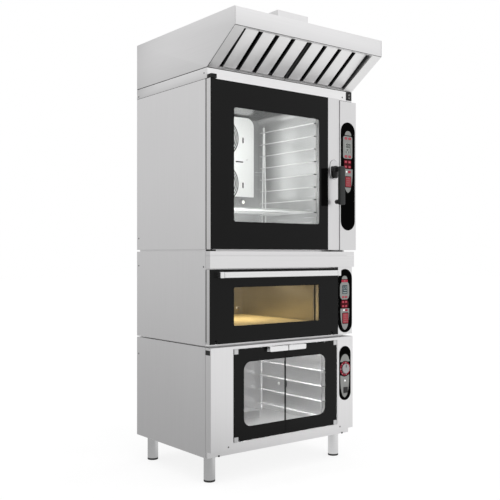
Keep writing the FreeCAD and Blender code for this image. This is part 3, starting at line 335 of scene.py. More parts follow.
M["lcd_dark"] = plain("lcd_dark", (0.035, 0.055, 0.065), 0.22, 0.0, 30, 0.08, 0.0, coat=0.2, spec=0.3)
M["lcd_ink"] = plain("lcd_ink", (0.004, 0.005, 0.004), 0.4, 0.0, 60, 0.1, 0.0, spec=0.1)
M["lcd_lit"] = plain("lcd_lit", (0.42, 0.48, 0.47), 0.4, 0.0, 60, 0.1, 0.0, spec=0.2)
M["white_mark"] = plain("white_mark", (0.92, 0.92, 0.90), 0.4, 0.0, 60, 0.04, 0.0)
M["lamp_lens"] = plain("lamp_lens", (0.95, 0.95, 0.95), 0.25, 0.0, 60, 0.03, 0.0, coat=0.5, emit=(1, 1, 1), es=0.25)
M["cavity_lamp"] = plain("cavity_lamp_glass", (0.95, 0.93, 0.88), 0.2, 0.0, 60, 0.04, 0.0, emit=(1.0, 0.97, 0.92), es=0.9)
M["screw"] = brushed("screw_steel", (0.20, 0.20, 0.20), 0.32, (90, 90, 90), 1.0, 0.08, 0.05)
# near-black standing in for shade: painted shade in gaps, slots, openings and on the rear filter slats
M["recess_shade_black"] = plain("black_recess_shade", (0.0015, 0.0015, 0.0015), 0.8, 0.0, 60, 0.2, 0.0, spec=0.05)


def paint(node, mat, bevel=0.0, seg=2, smooth=True):
    """a finish for a CAD node, and rounded edges where it has them"""
    o = N[node]
    o.data.materials.clear()
    o.data.materials.append(M[mat])
    if bevel:
        b = o.modifiers.new("edge", "BEVEL")
        b.width = bevel * MM
        b.segments = seg
        b.limit_method = "ANGLE"
        b.angle_limit = math.radians(50)
        b.harden_normals = False
    return o


def add_obj(name, me, body, mats, replaces=None, smooth=True, angle=35):
    o = bpy.data.objects.new(name, me)
    scene.collection.objects.link(o)
    for m in mats:
        me.materials.append(M[m])
    if smooth and me.polygons:
        me.shade_smooth()
        me.set_sharp_from_angle(angle=math.radians(angle))
    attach(o, body)
    if replaces:
        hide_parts(*replaces)
    return o


class Builder:
    """collects closed solids in one mesh, millimetres in, metres out"""

    def __init__(self):
        self.bm = bmesh.new()

    def take(self, tmp, mi=0, mat=None):
        if mat is not None:
            bmesh.ops.transform(tmp, matrix=mat, verts=tmp.verts)
        for f in tmp.faces:
            f.material_index = mi
        me = bpy.data.meshes.new("tmp")
        tmp.to_mesh(me)
        tmp.free()
        self.bm.from_mesh(me)
        bpy.data.meshes.remove(me)

    def box(self, x0, x1, y0, y1, z0, z1, r=0.0, mi=0, seg=2, mat=None, only=None):
        t = bmesh.new()
        bmesh.ops.create_cube(t, size=1.0)
        for v in t.verts:
            v.co = Vector(((x0 + x1) / 2 + v.co.x * (x1 - x0), (y0 + y1) / 2 + v.co.y * (y1 - y0), (z0 + z1) / 2 + v.co.z * (z1 - z0)))
        if r > 0:
            es = [e_ for e_ in t.edges if only is None or only(e_)]
            bmesh.ops.bevel(t, geom=es, offset=r, segments=seg, profile=0.5, affect="EDGES", clamp_overlap=True)
        self.take(t, mi, mat)

    def prism(self, pts, axis, a, b, r=0.0, mi=0, seg=2, mat=None):
        """closed polygon (2D, mm) pushed along an axis from a to b, its rims rounded by r"""
        t = bmesh.new()

        def P(p, h):
            if axis == "y":
                return Vector((p[0], h, p[1]))
            if axis == "x":
                return Vector((h, p[0], p[1]))
            return Vector((p[0], p[1], h))
        lo = [t.verts.new(P(p, a)) for p in pts]
        hi = [t.verts.new(P(p, b)) for p in pts]
        k = len(pts)
        t.faces.new(lo)
        t.faces.new(list(reversed(hi)))
        for i in range(k):
            j = (i + 1) % k
            t.faces.new((lo[j], lo[i], hi[i], hi[j]))
        bmesh.ops.recalc_face_normals(t, faces=t.faces)
        if r > 0:
            rims = [e_ for e_ in t.edges if abs((e_.verts[0].co - e_.verts[1].co).dot({"x": Vector((1, 0, 0)), "y": Vector((0, 1, 0)), "z": Vector((0, 0, 1))}[axis])) < 1e-6]
            bmesh.ops.bevel(t, geom=rims, offset=r, segments=seg, profile=0.5, affect="EDGES", clamp_overlap=True)
        self.take(t, mi, mat)

    def ring(self, outer, inner, axis, a, b, mi=0, mat=None, r=0.0):
        """plate with a hole: outer and inner outlines with the same number of points"""
        t = bmesh.new()

        def P(p, h):
            if axis == "y":
                return Vector((p[0], h, p[1]))
            if axis == "x":
                return Vector((h, p[0], p[1]))
            return Vector((p[0], p[1], h))
        k = len(outer)
        A = [t.verts.new(P(p, a)) for p in outer]
        B = [t.verts.new(P(p, a)) for p in inner]
        C = [t.verts.new(P(p, b)) for p in outer]
        D = [t.verts.new(P(p, b)) for p in inner]
        for i in range(k):
            j = (i + 1) % k
            t.faces.new((A[i], A[j], B[j], B[i]))
            t.faces.new((C[j], C[i], D[i], D[j]))
            t.faces.new((A[j], A[i], C[i], C[j]))
            t.faces.new((B[i], B[j], D[j], D[i]))
        bmesh.ops.recalc_face_normals(t, faces=t.faces)
        self.take(t, mi, mat)

    def lathe(self, prof, c, axis, mi=0, n=48, mat=None):
        """closed profile [(radius, height)] turned about an axis through c"""
        t = bmesh.new()
        rows = []
        for (r, h) in prof:
            row = []
            if r < 1e-6:
                if axis == "y":
                    row = [t.verts.new((c[0], c[1] + h, c[2]))]
                elif axis == "z":
                    row = [t.verts.new((c[0], c[1], c[2] + h))]
                else:
                    row = [t.verts.new((c[0] + h, c[1], c[2]))]
            else:
                for i in range(n):
                    a = 2 * math.pi * i / n
                    u, w = r * math.cos(a), r * math.sin(a)
                    if axis == "y":
                        row.append(t.verts.new((c[0] + u, c[1] + h, c[2] + w)))
                    elif axis == "z":
                        row.append(t.verts.new((c[0] + u, c[1] + w, c[2] + h)))
                    else:
                        row.append(t.verts.new((c[0] + h, c[1] + u, c[2] + w)))
            rows.append(row)
        for q in range(len(rows) - 1):
            a, b = rows[q], rows[q + 1]
            for i in range(n):
                j = (i + 1) % n
                if len(a) == 1 and len(b) == 1:
                    continue
                if len(a) == 1:
                    t.faces.new((a[0], b[i], b[j]))
                elif len(b) == 1:
                    t.faces.new((a[i], a[j], b[0]))
                else:
                    t.faces.new((a[i], a[j], b[j], b[i]))
        if len(rows[0]) > 1 and len(rows[-1]) > 1:
            a, b = rows[-1], rows[0]
            if prof[0] != prof[-1]:
                for i in range(n):
                    j = (i + 1) % n
                    t.faces.new((a[i], a[j], b[j], b[i]))
        bmesh.ops.remove_doubles(t, verts=t.verts, dist=1e-5)
        bmesh.ops.recalc_face_normals(t, faces=t.faces)
        self.take(t, mi, mat)

    def wire(self, pts, r, mi=0, n=12, bend=0.0, closed=False):
        """round bar along points, its corners bent to radius `bend`, ends rounded off"""
        P = [Vector(p) for p in pts]
        path = []
        k = len(P)
        for i, p in enumerate(P):
            if not closed and (i == 0 or i == k - 1) or bend <= 0:
                path.append(p)
                continue
            a, b = P[i - 1], P[(i + 1) % k]
            u, w = (a - p).normalized(), (b - p).normalized()
            ang = u.angle(w)
            if ang > math.radians(178):
                path.append(p)
                continue
            d = min(bend / math.tan(ang / 2), (a - p).length * 0.49, (b - p).length * 0.49)
            s, e_ = p + u * d, p + w * d
            steps = 6
            rr = d * math.tan(ang / 2)
            c = p + (u + w).normalized() * (rr / math.sin(ang / 2))
            v0, v1 = s - c, e_ - c
            for q in range(steps + 1):
                path.append(c + v0.slerp(v1, q / steps) if v0.angle(v1) > 1e-4 else s)
        t = bmesh.new()
        m = len(path)
        tang = []
        for i in range(m):
            if closed:
                d = path[(i + 1) % m] - path[i - 1]
            else:
                d = path[min(i + 1, m - 1)] - path[max(i - 1, 0)]
            tang.append(d.normalized())
        nrm = Vector((0, 0, 1)) if abs(tang[0].z) < 0.9 else Vector((1, 0, 0))
        nrm = (nrm - tang[0] * nrm.dot(tang[0])).normalized()
        rows = []
        for i in range(m):
            nrm = (nrm - tang[i] * nrm.dot(tang[i])).normalized()
            bi = tang[i].cross(nrm)
            rows.append([t.verts.new(path[i] + (nrm * math.cos(2 * math.pi * q / n) + bi * math.sin(2 * math.pi * q / n)) * r) for q in range(n)])
        for i in range(m - (0 if closed else 1)):
            a, b = rows[i], rows[(i + 1) % m]
            for q in range(n):
                w = (q + 1) % n
                t.faces.new((a[q], a[w], b[w], b[q]))
        if not closed:
            for row, d in ((rows[0], -tang[0]), (rows[-1], tang[-1])):
                c = sum((v.co for v in row), Vector()) / n
                r2 = [t.verts.new(c + (v.co - c) * 0.7 + d * r * 0.5) for v in row]
                top = t.verts.new(c + d * r * 0.72)
                for q in range(n):
                    w = (q + 1) % n
                    t.faces.new((row[q], row[w], r2[w], r2[q]))
                    t.faces.new((r2[q], r2[w], top))
        bmesh.ops.recalc_face_normals(t, faces=t.faces)
        self.take(t, mi)

    def done(self, name, body, mats, replaces=None, angle=35):
        bmesh.ops.scale(self.bm, vec=(MM, MM, MM), verts=self.bm.verts)
        me = bpy.data.meshes.new(name)
        self.bm.to_mesh(me)
        self.bm.free()
        return add_obj(name, me, body, mats, replaces, True, angle)


def rrect(x0, x1, z0, z1, r, k=6):
    """outline of a rectangle with round corners, anticlockwise from the lower left"""
    r = max(r, 0.01)
    out = []
    for cx, cz, a0 in ((x0 + r, z0 + r, 180), (x1 - r, z0 + r, 270), (x1 - r, z1 - r, 0), (x0 + r, z1 - r, 90)):
        for i in range(k + 1):
            a = math.radians(a0 + 90 * i / k)
            out.append((cx + r * math.cos(a), cz + r * math.sin(a)))
    return out


def stadium(x0, x1, z0, z1, k=16):
    return rrect(x0, x1, z0, z1, (x1 - x0) / 2 - 0.01, k)


# ------------------------------------------------------------------ hood
CX0, CX1, CY0, CY1 = 42.0, 247.0, -141.0, 109.0
XL, XR = -468.5, 468.5
SEAM_U, SEAM_L = 1938.0, 1885.2      # edges of the hood sheets at the two dark joint lines
hb = Builder()
side = [(-460, 2168), (-460, 2085), (-243.0, 1938.6), (-243.0, SEAM_U), (406, SEAM_U), (406, 2168)]
hb.prism(side, "x", XL, XL + 2, 0.45)
hb.prism(side, "x", XR - 2, XR, 0.45)
hb.box(XL + 3.3, XR - 3.3, -460, -458, 2085.3, 2167.7, 0.8)
hb.box(XL + 2.3, XR - 2.3, -458, -440, 2085.3, 2086.8, 0.4)
hb.box(XL + 2.3, XR - 2.3, 404, 406, 1938.0, 2166, 0.6)
hb.ring(rrect(XL + 2, XR - 2, -458.2, 405.8, 0.5, 1), rrect(CX0, CX1, CY0, CY1, 2, 1), "z", 2166, 2168, 1)
# bottom plate of the hood chamber
hb.box(XL + 2.3, XR - 2.3, -242.8, 403.8, 1938.2, 1939.4, 0.3, 1)
hb.done("hood_shell_folded", "carcass", ["steel_h", "steel_top"], ["hood_shell"])

bd = Builder()
bd.box(XL, XL + 2, -243.0, 406.0, SEAM_L, 1934.8, 0.4, 1)
bd.box(XR - 2, XR, -243.0, 406.0, SEAM_L, 1934.8, 0.4, 1)
bd.box(XL + 2.2, XR - 2.2, 404.0, 406.0, SEAM_L, 1934.8, 0.8)
k_ = 4
bd.ring(rrect(XL + 2.2, XR - 2.2, SEAM_L, 1934.8, 1.2, k_), rrect(429.5, 462.0, 1893.0, 1931.0, 1.0, k_), "y", -243.0, -241.0)
bd.done("hood_band_folded", "carcass", ["steel_band", "steel_h"], ["hood_base_band"])
# black strips behind and in the two joint lines and behind the fascia corners: painted shade of the gaps
tp = Builder()
for z0_, z1_ in ((1934.0, 1940.5), (1882.6, 1888.0)):
    tp.box(XL + 2.1, XL + 3.6, -240.5, 403.5, z0_, z1_, 0.4, 0, 1)
    tp.box(XR - 3.6, XR - 2.1, -240.5, 403.5, z0_, z1_, 0.4, 0, 1)
    tp.box(XL + 3.8, XR - 3.8, -240.6, -239.2, z0_, z1_, 0.4, 0, 1)
    tp.box(XL + 3.8, XR - 3.8, 402.2, 403.6, z0_, z1_, 0.4, 0, 1)
tp.box(XL + 2.1, XL + 6.0, -457.6, -456.4, 2087.5, 2165.5, 0.3, 0, 1)
tp.box(XR - 6.0, XR - 2.1, -457.6, -456.4, 2087.5, 2165.5, 0.3, 0, 1)
for z0_, z1_ in ((1934.9, 1937.9), (1882.4, 1885.1)):
    tp.box(XL + 0.5, XL + 2.0, -241.5, 404.5, z0_, z1_, 0.2, 0, 1)
    tp.box(XR - 2.0, XR - 0.5, -241.5, 404.5, z0_, z1_, 0.2, 0, 1)
tp.done("hood_joint_shade_strips", "carcass", ["seal_black"])

_L = math.hypot(217, 148)
TY, TZ = 217 / _L, -148 / _L
MYv, MZv = -TZ, TY
SL = Matrix(((1, 0, 0, 0), (0, TY, MYv, -460), (0, TZ, MZv, 2085), (0, 0, 0, 1)))
FA = math.atan2(19.5 - 6.0, 255.5 - 17.0)
TM = SL @ Matrix.Translation((0, 255.5, 6.0)) @ Matrix.Rotation(-FA, 4, "X") @ Matrix.Translation((0, -255.5, 0))


# black lines of painted shade in the joints around the slanted front: left border, under the fascia, over the filter
# sill
jl = Builder()
jl.box(-466.6, -465.0, 3.0, 259.0, -0.05, 0.3, 0.0, 0, 1, SL)
jl.box(-465.0, 466.0, 0.3, 2.4, 0.4, 1.2, 0.0, 0, 1, SL)
jl.box(-4.5, -2.5, 251.0, 260.5, -0.05, 0.25, 0.0, 0, 1, SL)
jl.done("hood_joint_shade_lines", "carcass", ["recess_shade_black"])


def filt(name, body, x0, x1, first, node):
    """baffle filter: channel frame, four raised front slats, rear slats; the flanges and frame sides are dark steel as
    painted shade, the rear slats and a strip under the slats near-black as painted shade
    """
    b = Builder()
    s0, s1, d = 17.0, 255.5, 24.0
    se = s1 - 4.5
    b.box(x0, x0 + 1.5, s0, s1, 0, d, 0.4, 1, 1, TM)
    b.box(x1 - 1.5, x1, s0, s1, 0, d, 0.4, 1, 1, TM)
    b.box(x0 + 1.5, x1 - 1.5, s0, s0 + 1.5, 0, d, 0.4, 0, 1, TM)
    b.box(x0 + 1.5, x1 - 1.5, s1 - 1.5, s1, 0, d, 0.4, 0, 1, TM)
    # black strip below the slats: painted shadow line
    b.box(x0 + 1.6, x1 - 1.6, se + 0.1, s1 - 1.6, 1.3, 2.6, 0.3, 2, 1, TM)
    b.box(x0 + 1.5, x1 - 1.5, s0 + 1.6, s0 + 7.0, 0.0, 1.2, 0.4, 0, 1, TM)
    sl_ = [(first + 98.2 * k, first + 98.2 * k + 73.0) for k in range(4)]
    for a, c in sl_:
        # one folded slat: face with rounded long edges and two flanges
        b.box(a, c, s0 + 7.2, se, 0.0, 1.2, 0.55, 0, 3, TM)
        # flanges in dark steel: painted shade on their faces
        b.box(a + 0.1, a + 1.3, s0 + 7.2, s1 - 1.8, 1.25, 12.0, 0.3, 1, 1, TM)
        b.box(c - 1.3, c - 0.1, s0 + 7.2, s1 - 1.8, 1.25, 12.0, 0.3, 1, 1, TM)
        # rear slats over the gaps follow below
    gaps = [x0 + 1.6] + [v for ac in sl_ for v in ac] + [x1 - 1.6]
    for a, c in zip(gaps[0::2], gaps[1::2]):
        # rear slats in near-black: painted shade seen through the gaps
        b.box(max(x0 + 1.6, a - 20), min(x1 - 1.6, c + 20), s0 + 1.7, s1 - 1.7, d - 1.4, d - 0.2, 0.3, 2, 1, TM)
        if a > x0 + 5:
            b.box(a - 19, a - 17.8, s0 + 1.8, s1 - 1.8, 13.4, d - 1.5, 0.3, 2, 1, TM)
        if c < x1 - 5:
            b.box(c + 17.8, c + 19, s0 + 1.8, s1 - 1.8, 13.4, d - 1.5, 0.3, 2, 1, TM)
    return b.done(name, body, ["steel_slant", "steel_flange_shade", "recess_shade_black"], [node])


filt("baffle_filter_left_slats", "filter_left", -404.5, 1.5, -381.5, "baffle_filter_left")
filt("baffle_filter_right_slats", "filter_right", 3.5, 400.5, 18.5, "baffle_filter_right")
paint("hood_filter_frame", "steel_slant", 0.3, 1)
paint("exhaust_collar", "steel_v", 0.4)
paint("extraction_motor", "motor", 0.6)
paint("extraction_impeller", "alu", 0.4)

rb = Builder()
rb.box(431.0, 460.5, -246.6, -236.5, 1895.2, 1928.8, 1.6, 0, 3)
rb.box(444.6, 446.9, -246.9, -246.4, 1915.0, 1923.0, 0.2, 1, 1)
rb.lathe([(2.6, -0.3), (3.6, -0.3), (3.6, 0.2), (2.6, 0.2), (2.6, -0.3)], (445.75, -246.6, 1903.0), "y", 1, 24)
rb.done("hood_rocker_switch", "hood_switch", ["black", "white_mark"], ["hood_rocker"])
bz = Builder()
bz.ring(rrect(426.5, 465.0, 1890.0, 1934.0, 3, 4), rrect(430.2, 461.3, 1893.8, 1930.2, 1.5, 4), "y", -245.0, -242.9, 0)
bz.done("hood_rocker_bezel", "carcass", ["black"])

# ------------------------------------------------------------------ convection oven shell and cavity
paint("oven_casing", "steel_v", 0.8)
paint("rear_panels", "steel_v", 0.8)
paint("oven_cavity", "liner", 0.0)
paint("insulation", "wool")
paint("door_gaskets", "gasket", 2.0, 3)
paint("fan_baffle", "baffle", 0.5, 2)
paint("fan_upper", "alu", 0.2, 1)
paint("fan_lower", "alu", 0.2, 1)
paint("fan_motors", "motor", 0.5)
paint("heating_elements", "element")
paint("wire_shelf", "wire")
paint("control_column", "steel_door", 0.8)
paint("control_overlays", "black_gloss", 0.4, 2)
paint("oven_key", "red_key", 0.3, 2)
paint("deck_key", "red_key", 0.3, 2)
paint("indicator_lenses", "lamp_lens")
paint("oven_door_frame", "steel_door", 0.4)
paint("handle_rosette", "rosette")
paint("latch_cam", "satin", 0.4)
paint("pivot_brackets", "bracket", 0.5)
paint("deck_casing", "steel_v", 0.8)
paint("deck_front_panel", "steel_visor", 0.8)
paint("deck_cavity", "liner_warm")
paint("deck_stone", "stone", 1.0)
paint("deck_door_frame", "steel_door", 0.4)
paint("deck_handle", "satin", 0.6)
paint("prover_casing", "steel_v", 0.8)
paint("prover_front_panel", "steel_v", 0.8)
paint("prover_chamber", "chamber")
paint("humidifier_tray", "chamber", 0.4)
paint("prover_hinges_left", "clip", 0.3)
paint("prover_hinges_right", "clip", 0.3)
paint("prover_handle_left", "polished", 0.3)
paint("prover_handle_right", "polished", 0.3)
paint("prover_rocker", "black", 0.5)
paint("base_frame", "steel_h", 0.4)
paint("legs", "polished", 0.3)
paint("rubber_feet", "rubber")
paint("rear_pipes", "satin", 0.4)
paint("cable_gland", "black", 0.5)
paint("oven_inner_glass", "glass_inner", 0.0)


def ccw(pts):
    a_ = sum(pts[i][0] * pts[(i + 1) % len(pts)][1] - pts[(i + 1) % len(pts)][0] * pts[i][1] for i in range(len(pts)))
    return pts if a_ > 0 else list(reversed(pts))


def door_glass(name, body, node, x0, x1, y0, y1, z0, z1, win, r, clear, notches=None):
    """glass door leaf: black printed border with a clear window that has round corners"""
    k = 8
    wx0, wx1, wz0, wz1 = win
    inner = rrect(wx0, wx1, wz0, wz1, r, k)
    b = Builder()
    if notches:
        # bottom strip with notches for the hinge knuckles
        pts = [(x0, z0)]
        for nx in notches:
            pts += [(nx - 6.3, z0), (nx - 6.3, z0 + 18.5), (nx + 6.3, z0 + 18.5), (nx + 6.3, z0)]
        zc = z0 + 30.0
        pts += [(x1, z0), (x1, zc), (x0, zc)]
        b.prism(ccw(pts), "y", y0, y1, 0.0)
        z0 = zc
    b.ring(rrect(x0 + 1.8, x1 - 1.8, z0 + (0.05 if notches else 1.8), z1 - 1.8, 0.6, k), inner, "y", y0, y0 + 0.55, 0)
    b.ring(rrect(x0, x1, z0, z1, 1.5 if not notches else 0.1, k), rrect(x0 + 1.8, x1 - 1.8, z0 + (0.05 if notches else 1.8), z1 - 1.8, 0.6, k), "y", y0, y1, 0)
    o = b.done(name + "_border", body, ["frit"], [node])
    c = Builder()
    c.prism(rrect(x0 + 1.85, x1 - 1.85, z0 + 1.85, z1 - 1.85, 0.6, k), "y", y0 + 0.62, y1 - 0.05, 0.0)
    c.done(name + "_slab", body, [clear])
    return o


door_glass("oven_glass", "oven_door", "oven_door_glass", -466.2, 271.3, -269.7, -263.7, 1094.5, 1882.0, (-332, 209, 1225, 1762), 12, "glass")
door_glass("deck_glass", "deck_door", "deck_door_glass", -468.2, 341.7, -269.4, -264.4, 653.3, 999.7, (-332, 208, 734, 915), 5, "glass_deck", (-435.0, 300.0))


PW = (-277.5, 245.0, 253.0, 560.0)
SPLIT = -19.5


def prover_leaf(name, body, node, x0, x1, left):
    k = 10
    y0, y1 = -274.9, -266.9
    z0, z1 = 187.0, 623.5
    r = 40.0
    wz0, wz1 = PW[2], PW[3]
    if left:
        wx0, wx1 = PW[0], x1
        radii = (r, 0.05, 0.05, r)
    else:
        wx0, wx1 = x0, PW[1]
        radii = (0.05, r, r, 0.05)
    # the window outline, open at the meeting edge
    run = []
    cs = ((wx0, wz0, 180, 1, 1), (wx1, wz0, 270, -1, 1), (wx1, wz1, 0, -1, -1), (wx0, wz1, 90, 1, -1))
    for (cx, cz, a0, sxn, szn), rr in zip(cs, radii):
        if rr < 1:
            continue
        for i in range(k + 1):
            a = math.radians(a0 + 90 * i / k)
            run.append((cx + sxn * rr + rr * math.cos(a), cz + szn * rr + rr * math.sin(a)))
    b = Builder()
    if left:
        # points run: lower left corner, upper left corner
        low, high = run[:k + 1], run[k + 1:]
        pts = [(x1, z0), (x1, wz0)] + [p_ for p_ in reversed(low)] + [p_ for p_ in reversed(high)] + [(x1, wz1), (x1, z1), (x0, z1), (x0, z0)]
    else:
        low, high = run[:k + 1], run[k + 1:]
        pts = [(x0, z0), (x1, z0), (x1, z1), (x0, z1), (x0, wz1)] + [p_ for p_ in reversed(high)] + [p_ for p_ in reversed(low)] + [(x0, wz0)]
    b.prism(ccw(pts), "y", y0, y0 + 0.55)
    b.box(*((x1 - 0.5, x1) if left else (x0, x0 + 0.5)), y0 + 0.56, y1, z0, z1, 0.0)
    if left:
        b.box(x0, x0 + 1.6, y0 + 0.56, y1, z0, z1, 0.0)
        # thin dark seal that closes the gap to the other leaf
        b.box(x1 + 0.05, x1 + 1.25, y1 - 1.6, y1 - 0.2, z0 + 0.5, z1 - 0.5, 0.0)
        b.box(x1 + 0.05, x1 + 2.4, y1 - 1.6, y1 - 0.2, z0 + 0.5, wz0, 0.0)
        b.box(x1 + 0.05, x1 + 2.4, y1 - 1.6, y1 - 0.2, wz1, z1 - 0.5, 0.0)
    else:
        b.box(x1 - 1.6, x1, y0 + 0.56, y1, z0, z1, 0.0)
    b.done(name + "_border", body, ["frit"], [node])
    c = Builder()
    c.box(x0 + (1.65 if left else 0.55), x1 - (0.55 if left else 1.65), y0 + 0.62, y1 - 0.05, z0, z1, 0.0)
    c.done(name + "_slab", body, ["glass_prover"])


prover_leaf("prover_glass_left", "prover_left", "prover_door_left", -335.5, SPLIT - 1.5, True)
prover_leaf("prover_glass_right", "prover_right", "prover_door_right", SPLIT + 1.5, 327.0, False)

# ------------------------------------------------------------------ oven inside
OCx0, OCx1, OCz0, OCz1 = -406.0, 284.0, 1180.0, 1840.0


def cove(b, cx, cz, sx_, sz_, y0, y1, r, mi=0, k=8):
    """welded inside corner: quarter-round fillet along the depth"""
    pts = [(cx, cz)]
    for i in range(k + 1):
        a_ = math.radians(90 * i / k)
        pts.append((cx + sx_ * (r - r * math.sin(a_)), cz + sz_ * (r - r * math.cos(a_))))
    b.prism(pts, "y", y0, y1, 0.0, mi)


cv = Builder()
for cx_, sx_ in ((OCx0, 1), (OCx1, -1)):
    for cz_, sz_ in ((OCz0, 1), (OCz1, -1)):
        cove(cv, cx_, cz_, sx_, sz_, -230.4, 329.9, 26.0)
# roof sheet of the cavity with a fine raised edge, in a dark copy of the liner steel as painted shade
cv.box(OCx0 + 26, OCx1 - 26, -230.2, 329.8, OCz1 - 0.9, OCz1 - 0.05, 0.2, 1, 1)
cv.done("oven_cavity_coves", "carcass", ["liner", "liner_roof_shade"])

# domed wire guards over the two fan intakes
FANX = -25.0
gd = Builder()
for fz in (1711.0, 1462.0):
    # black disc behind the rings: painted shade of the intake opening
    gd.lathe([(20.0, -0.9), (101.5, -0.9), (106.5, -0.5), (106.5, -0.1), (20.0, -0.1), (20.0, -0.9)], (FANX, 250.0, fz), "y", 1, 64)
    for r_, y_, w_ in ((96.0, 246.4, 2.8), (82.0, 240.5, 2.8), (68.0, 236.0, 2.8), (54.0, 232.4, 2.8), (40.0, 230.0, 2.8), (25.0, 228.4, 2.6)):
        gd.wire([(FANX + r_ * math.cos(math.radians(q * 7.5)), y_, fz + r_ * math.sin(math.radians(q * 7.5))) for q in range(48)], w_, 0, 8, 0.0, True)
    for q in range(6):
        a_ = math.radians(60 * q + 30)
        gd.wire([(FANX + r_ * math.cos(a_), y_ + 3.4, fz + r_ * math.sin(a_)) for r_, y_ in ((99.0, 245.5), (84.0, 238.5), (72.0, 234.0), (60.0, 231.0), (42.0, 228.2), (22.0, 226.0))], 1.7, 0, 8)
    gd.lathe([(0.0, -1.4), (22.0, -1.2), (24.0, 0.0), (24.0, 1.6), (0.0, 1.6)], (FANX, 229.0, fz), "y", 0, 32)
gd.done("fan_guards", "carcass", ["wire", "recess_shade_black"])

# dark louvre slots of the baffle
sl_b = Builder()
for fz in (1697.0, 1447.0):
    for x_ in (112.0, -162.0):
        # each slot is a thin black plate on the baffle face, painted shade of the opening
        sl_b.prism(rrect(x_ - 4.2, x_ + 4.2, fz - 7.8, fz + 23.8, 2.6, 4), "y", 249.3, 249.95, 0.0)
sl_b.prism(rrect(62.0, 113.0, 1580.5, 1587.5, 2.0, 4), "y", 249.3, 249.9, 0.2, 0, 1)
sl_b.lathe([(0.0, -0.9), (2.6, -0.7), (3.1, 0.0), (0.0, 0.0)], (140.3, 249.9, 1598.0), "y", 0, 20)
sl_b.done("baffle_slot_shades", "carcass", ["recess_shade_black"])

# side racks bent and welded from round wire
rk_b = Builder()
OLEV = [1290.0 + 66.4 * i for i in range(8)]
for rx, ux, wx in ((236.0, 243.0, 284.0), (-358.0, -365.0, -406.0)):
    d_ = 1 if wx > rx else -1
    rk_b.wire([(ux, 209.0, 1180.2), (ux, 209.0, 1797.0), (ux, 245.0, 1797.0), (ux, 245.0, 1180.2)], 3.8, 0, 14, 16.0)
    rk_b.wire([(ux + d_ * 3.5, 245.0, 1784.0), (wx - d_ * 0.2, 245.0, 1784.0)], 3.0, 2, 10)
    for z_ in OLEV:
        rk_b.wire([(rx, -197.0, z_), (rx, 249.0, z_)], 2.9, 0, 12)
        # front hook stubs and their washers in black: painted dark reflection of the wire
        rk_b.wire([(rx + d_ * 2.6, -194.0, z_), (wx - d_ * 0.2, -194.0, z_)], 2.9, 1, 10)
        rk_b.lathe([(2.9, 0.0), (7.0, 0.0), (7.0, -d_ * 1.2), (2.9, -d_ * 1.2)], (wx - d_ * 0.2, -194.0, z_), "x", 1, 20)
for rx, ux, wx in ((292.0, 299.0, 328.0), (-298.0, -305.0, -334.0)):
    d_ = 1 if wx > rx else -1
    for y_ in (-190.0, 320.0):
        rk_b.wire([(ux, y_, 180.2), (ux, y_, 600.0)], 3.8, 0, 14)
    for z_ in (216.0, 296.0, 376.0, 457.0):
        rk_b.wire([(rx, -200.0, z_), (rx, 330.0, z_)], 2.5, 0, 12)
        rk_b.wire([(rx + d_ * 2.6, -197.0, z_), (wx - d_ * 0.2, -197.0, z_)], 2.9, 0, 10)
        rk_b.wire([(rx + d_ * 14.0, -185.0, z_ + 0.5), (rx + d_ * 14.0, 322.0, z_ + 0.5)], 1.9, 0, 10)
rk_b.done("side_racks", "carcass", ["wire", "black", "satin"], ["rack_supports"])

# lamps: steel bezel, glass lens
lm = Builder()
for (x_, y_, z_, R_, r_) in ((170.0, 330.0, 1368.0, 20.0, 10.0),):
    lm.lathe([(r_ + 0.2, 0.0), (R_ - 1.0, 0.0), (R_, -1.0), (R_ - 0.6, -3.0), (r_ + 3.0, -7.6), (r_ + 0.8, -7.8), (r_ + 0.2, -7.0), (r_ + 0.2, 0.0)], (x_, y_, z_), "y", 0, 40)
    lm.lathe([(0.0, -8.6), (r_ * 0.5, -8.3), (r_ * 0.85, -7.2), (r_, -5.4), (r_, -0.5), (0.0, -0.5)], (x_, y_, z_), "y", 1, 40)
# small shaded lamp in the deck oven
lm.lathe([(7.5, 0.0), (13.0, 0.0), (13.0, -2.0), (10.0, -5.0), (7.5, -5.5), (7.5, 0.0)], (172.0, 380.0, 762.0), "y", 0, 32)
lm.lathe([(0.0, -6.5), (4.0, -6.2), (7.0, -4.5), (7.2, -0.5), (0.0, -0.5)], (172.0, 380.0, 762.0), "y", 2, 32)
lm.done("cavity_lamp_units", "carcass", ["liner", "cavity_lamp", "element"], ["cavity_lamps"])

# prover: lit port and probe slot on the right wall, corner block, frame bolts
pv = Builder()
pv.lathe([(0.0, -1.0), (8.0, -0.9), (9.5, 0.0), (9.5, 0.9), (0.0, 0.9)], (327.0, 200.0, 337.6), "x", 0, 32)
pv.prism(rrect(127.0, 132.0, 328.0, 360.0, 2.4, 4), "x", 326.6, 327.9, 0.0, 1)
pv.box(-468.56, -467.8, -269.6, -231.4, 604.0, 627.0, 0.3, 1, 1)
for x_, z_ in ((-400.4, 127.5), (396.3, 126.6)):
    pv.lathe([(0.0, -3.2), (3.4, -3.0), (4.6, -1.6), (4.8, 0.4), (0.0, 0.4)], (x_, -243.0, z_), "y", 1, 24)
pv.done("prover_trim", "carcass", ["white_mark", "black"])

# lights inside the lit cavities
strip = area("oven_lamp", (-0.10, -0.205, 1.79), (-0.04, 0.25, 1.58), 0.46, 2.3, 0.03)
strip.visible_glossy = False
fill = area("oven_fill", (-0.36, -0.08, 1.42), (0.28, -0.02, 1.42), 0.36, 3.6, 0.44)
fill.visible_glossy = False
area("deck_lamp", (-0.06, 0.1, 0.925), (-0.06, 0.1, 0.7), 0.35, 1.02, 0.3, (1.0, 0.87, 0.60))
area("prover_lamp", (0.0, 0.05, 0.615), (0.0, 0.05, 0.2), 0.35, 2.5, 0.3)

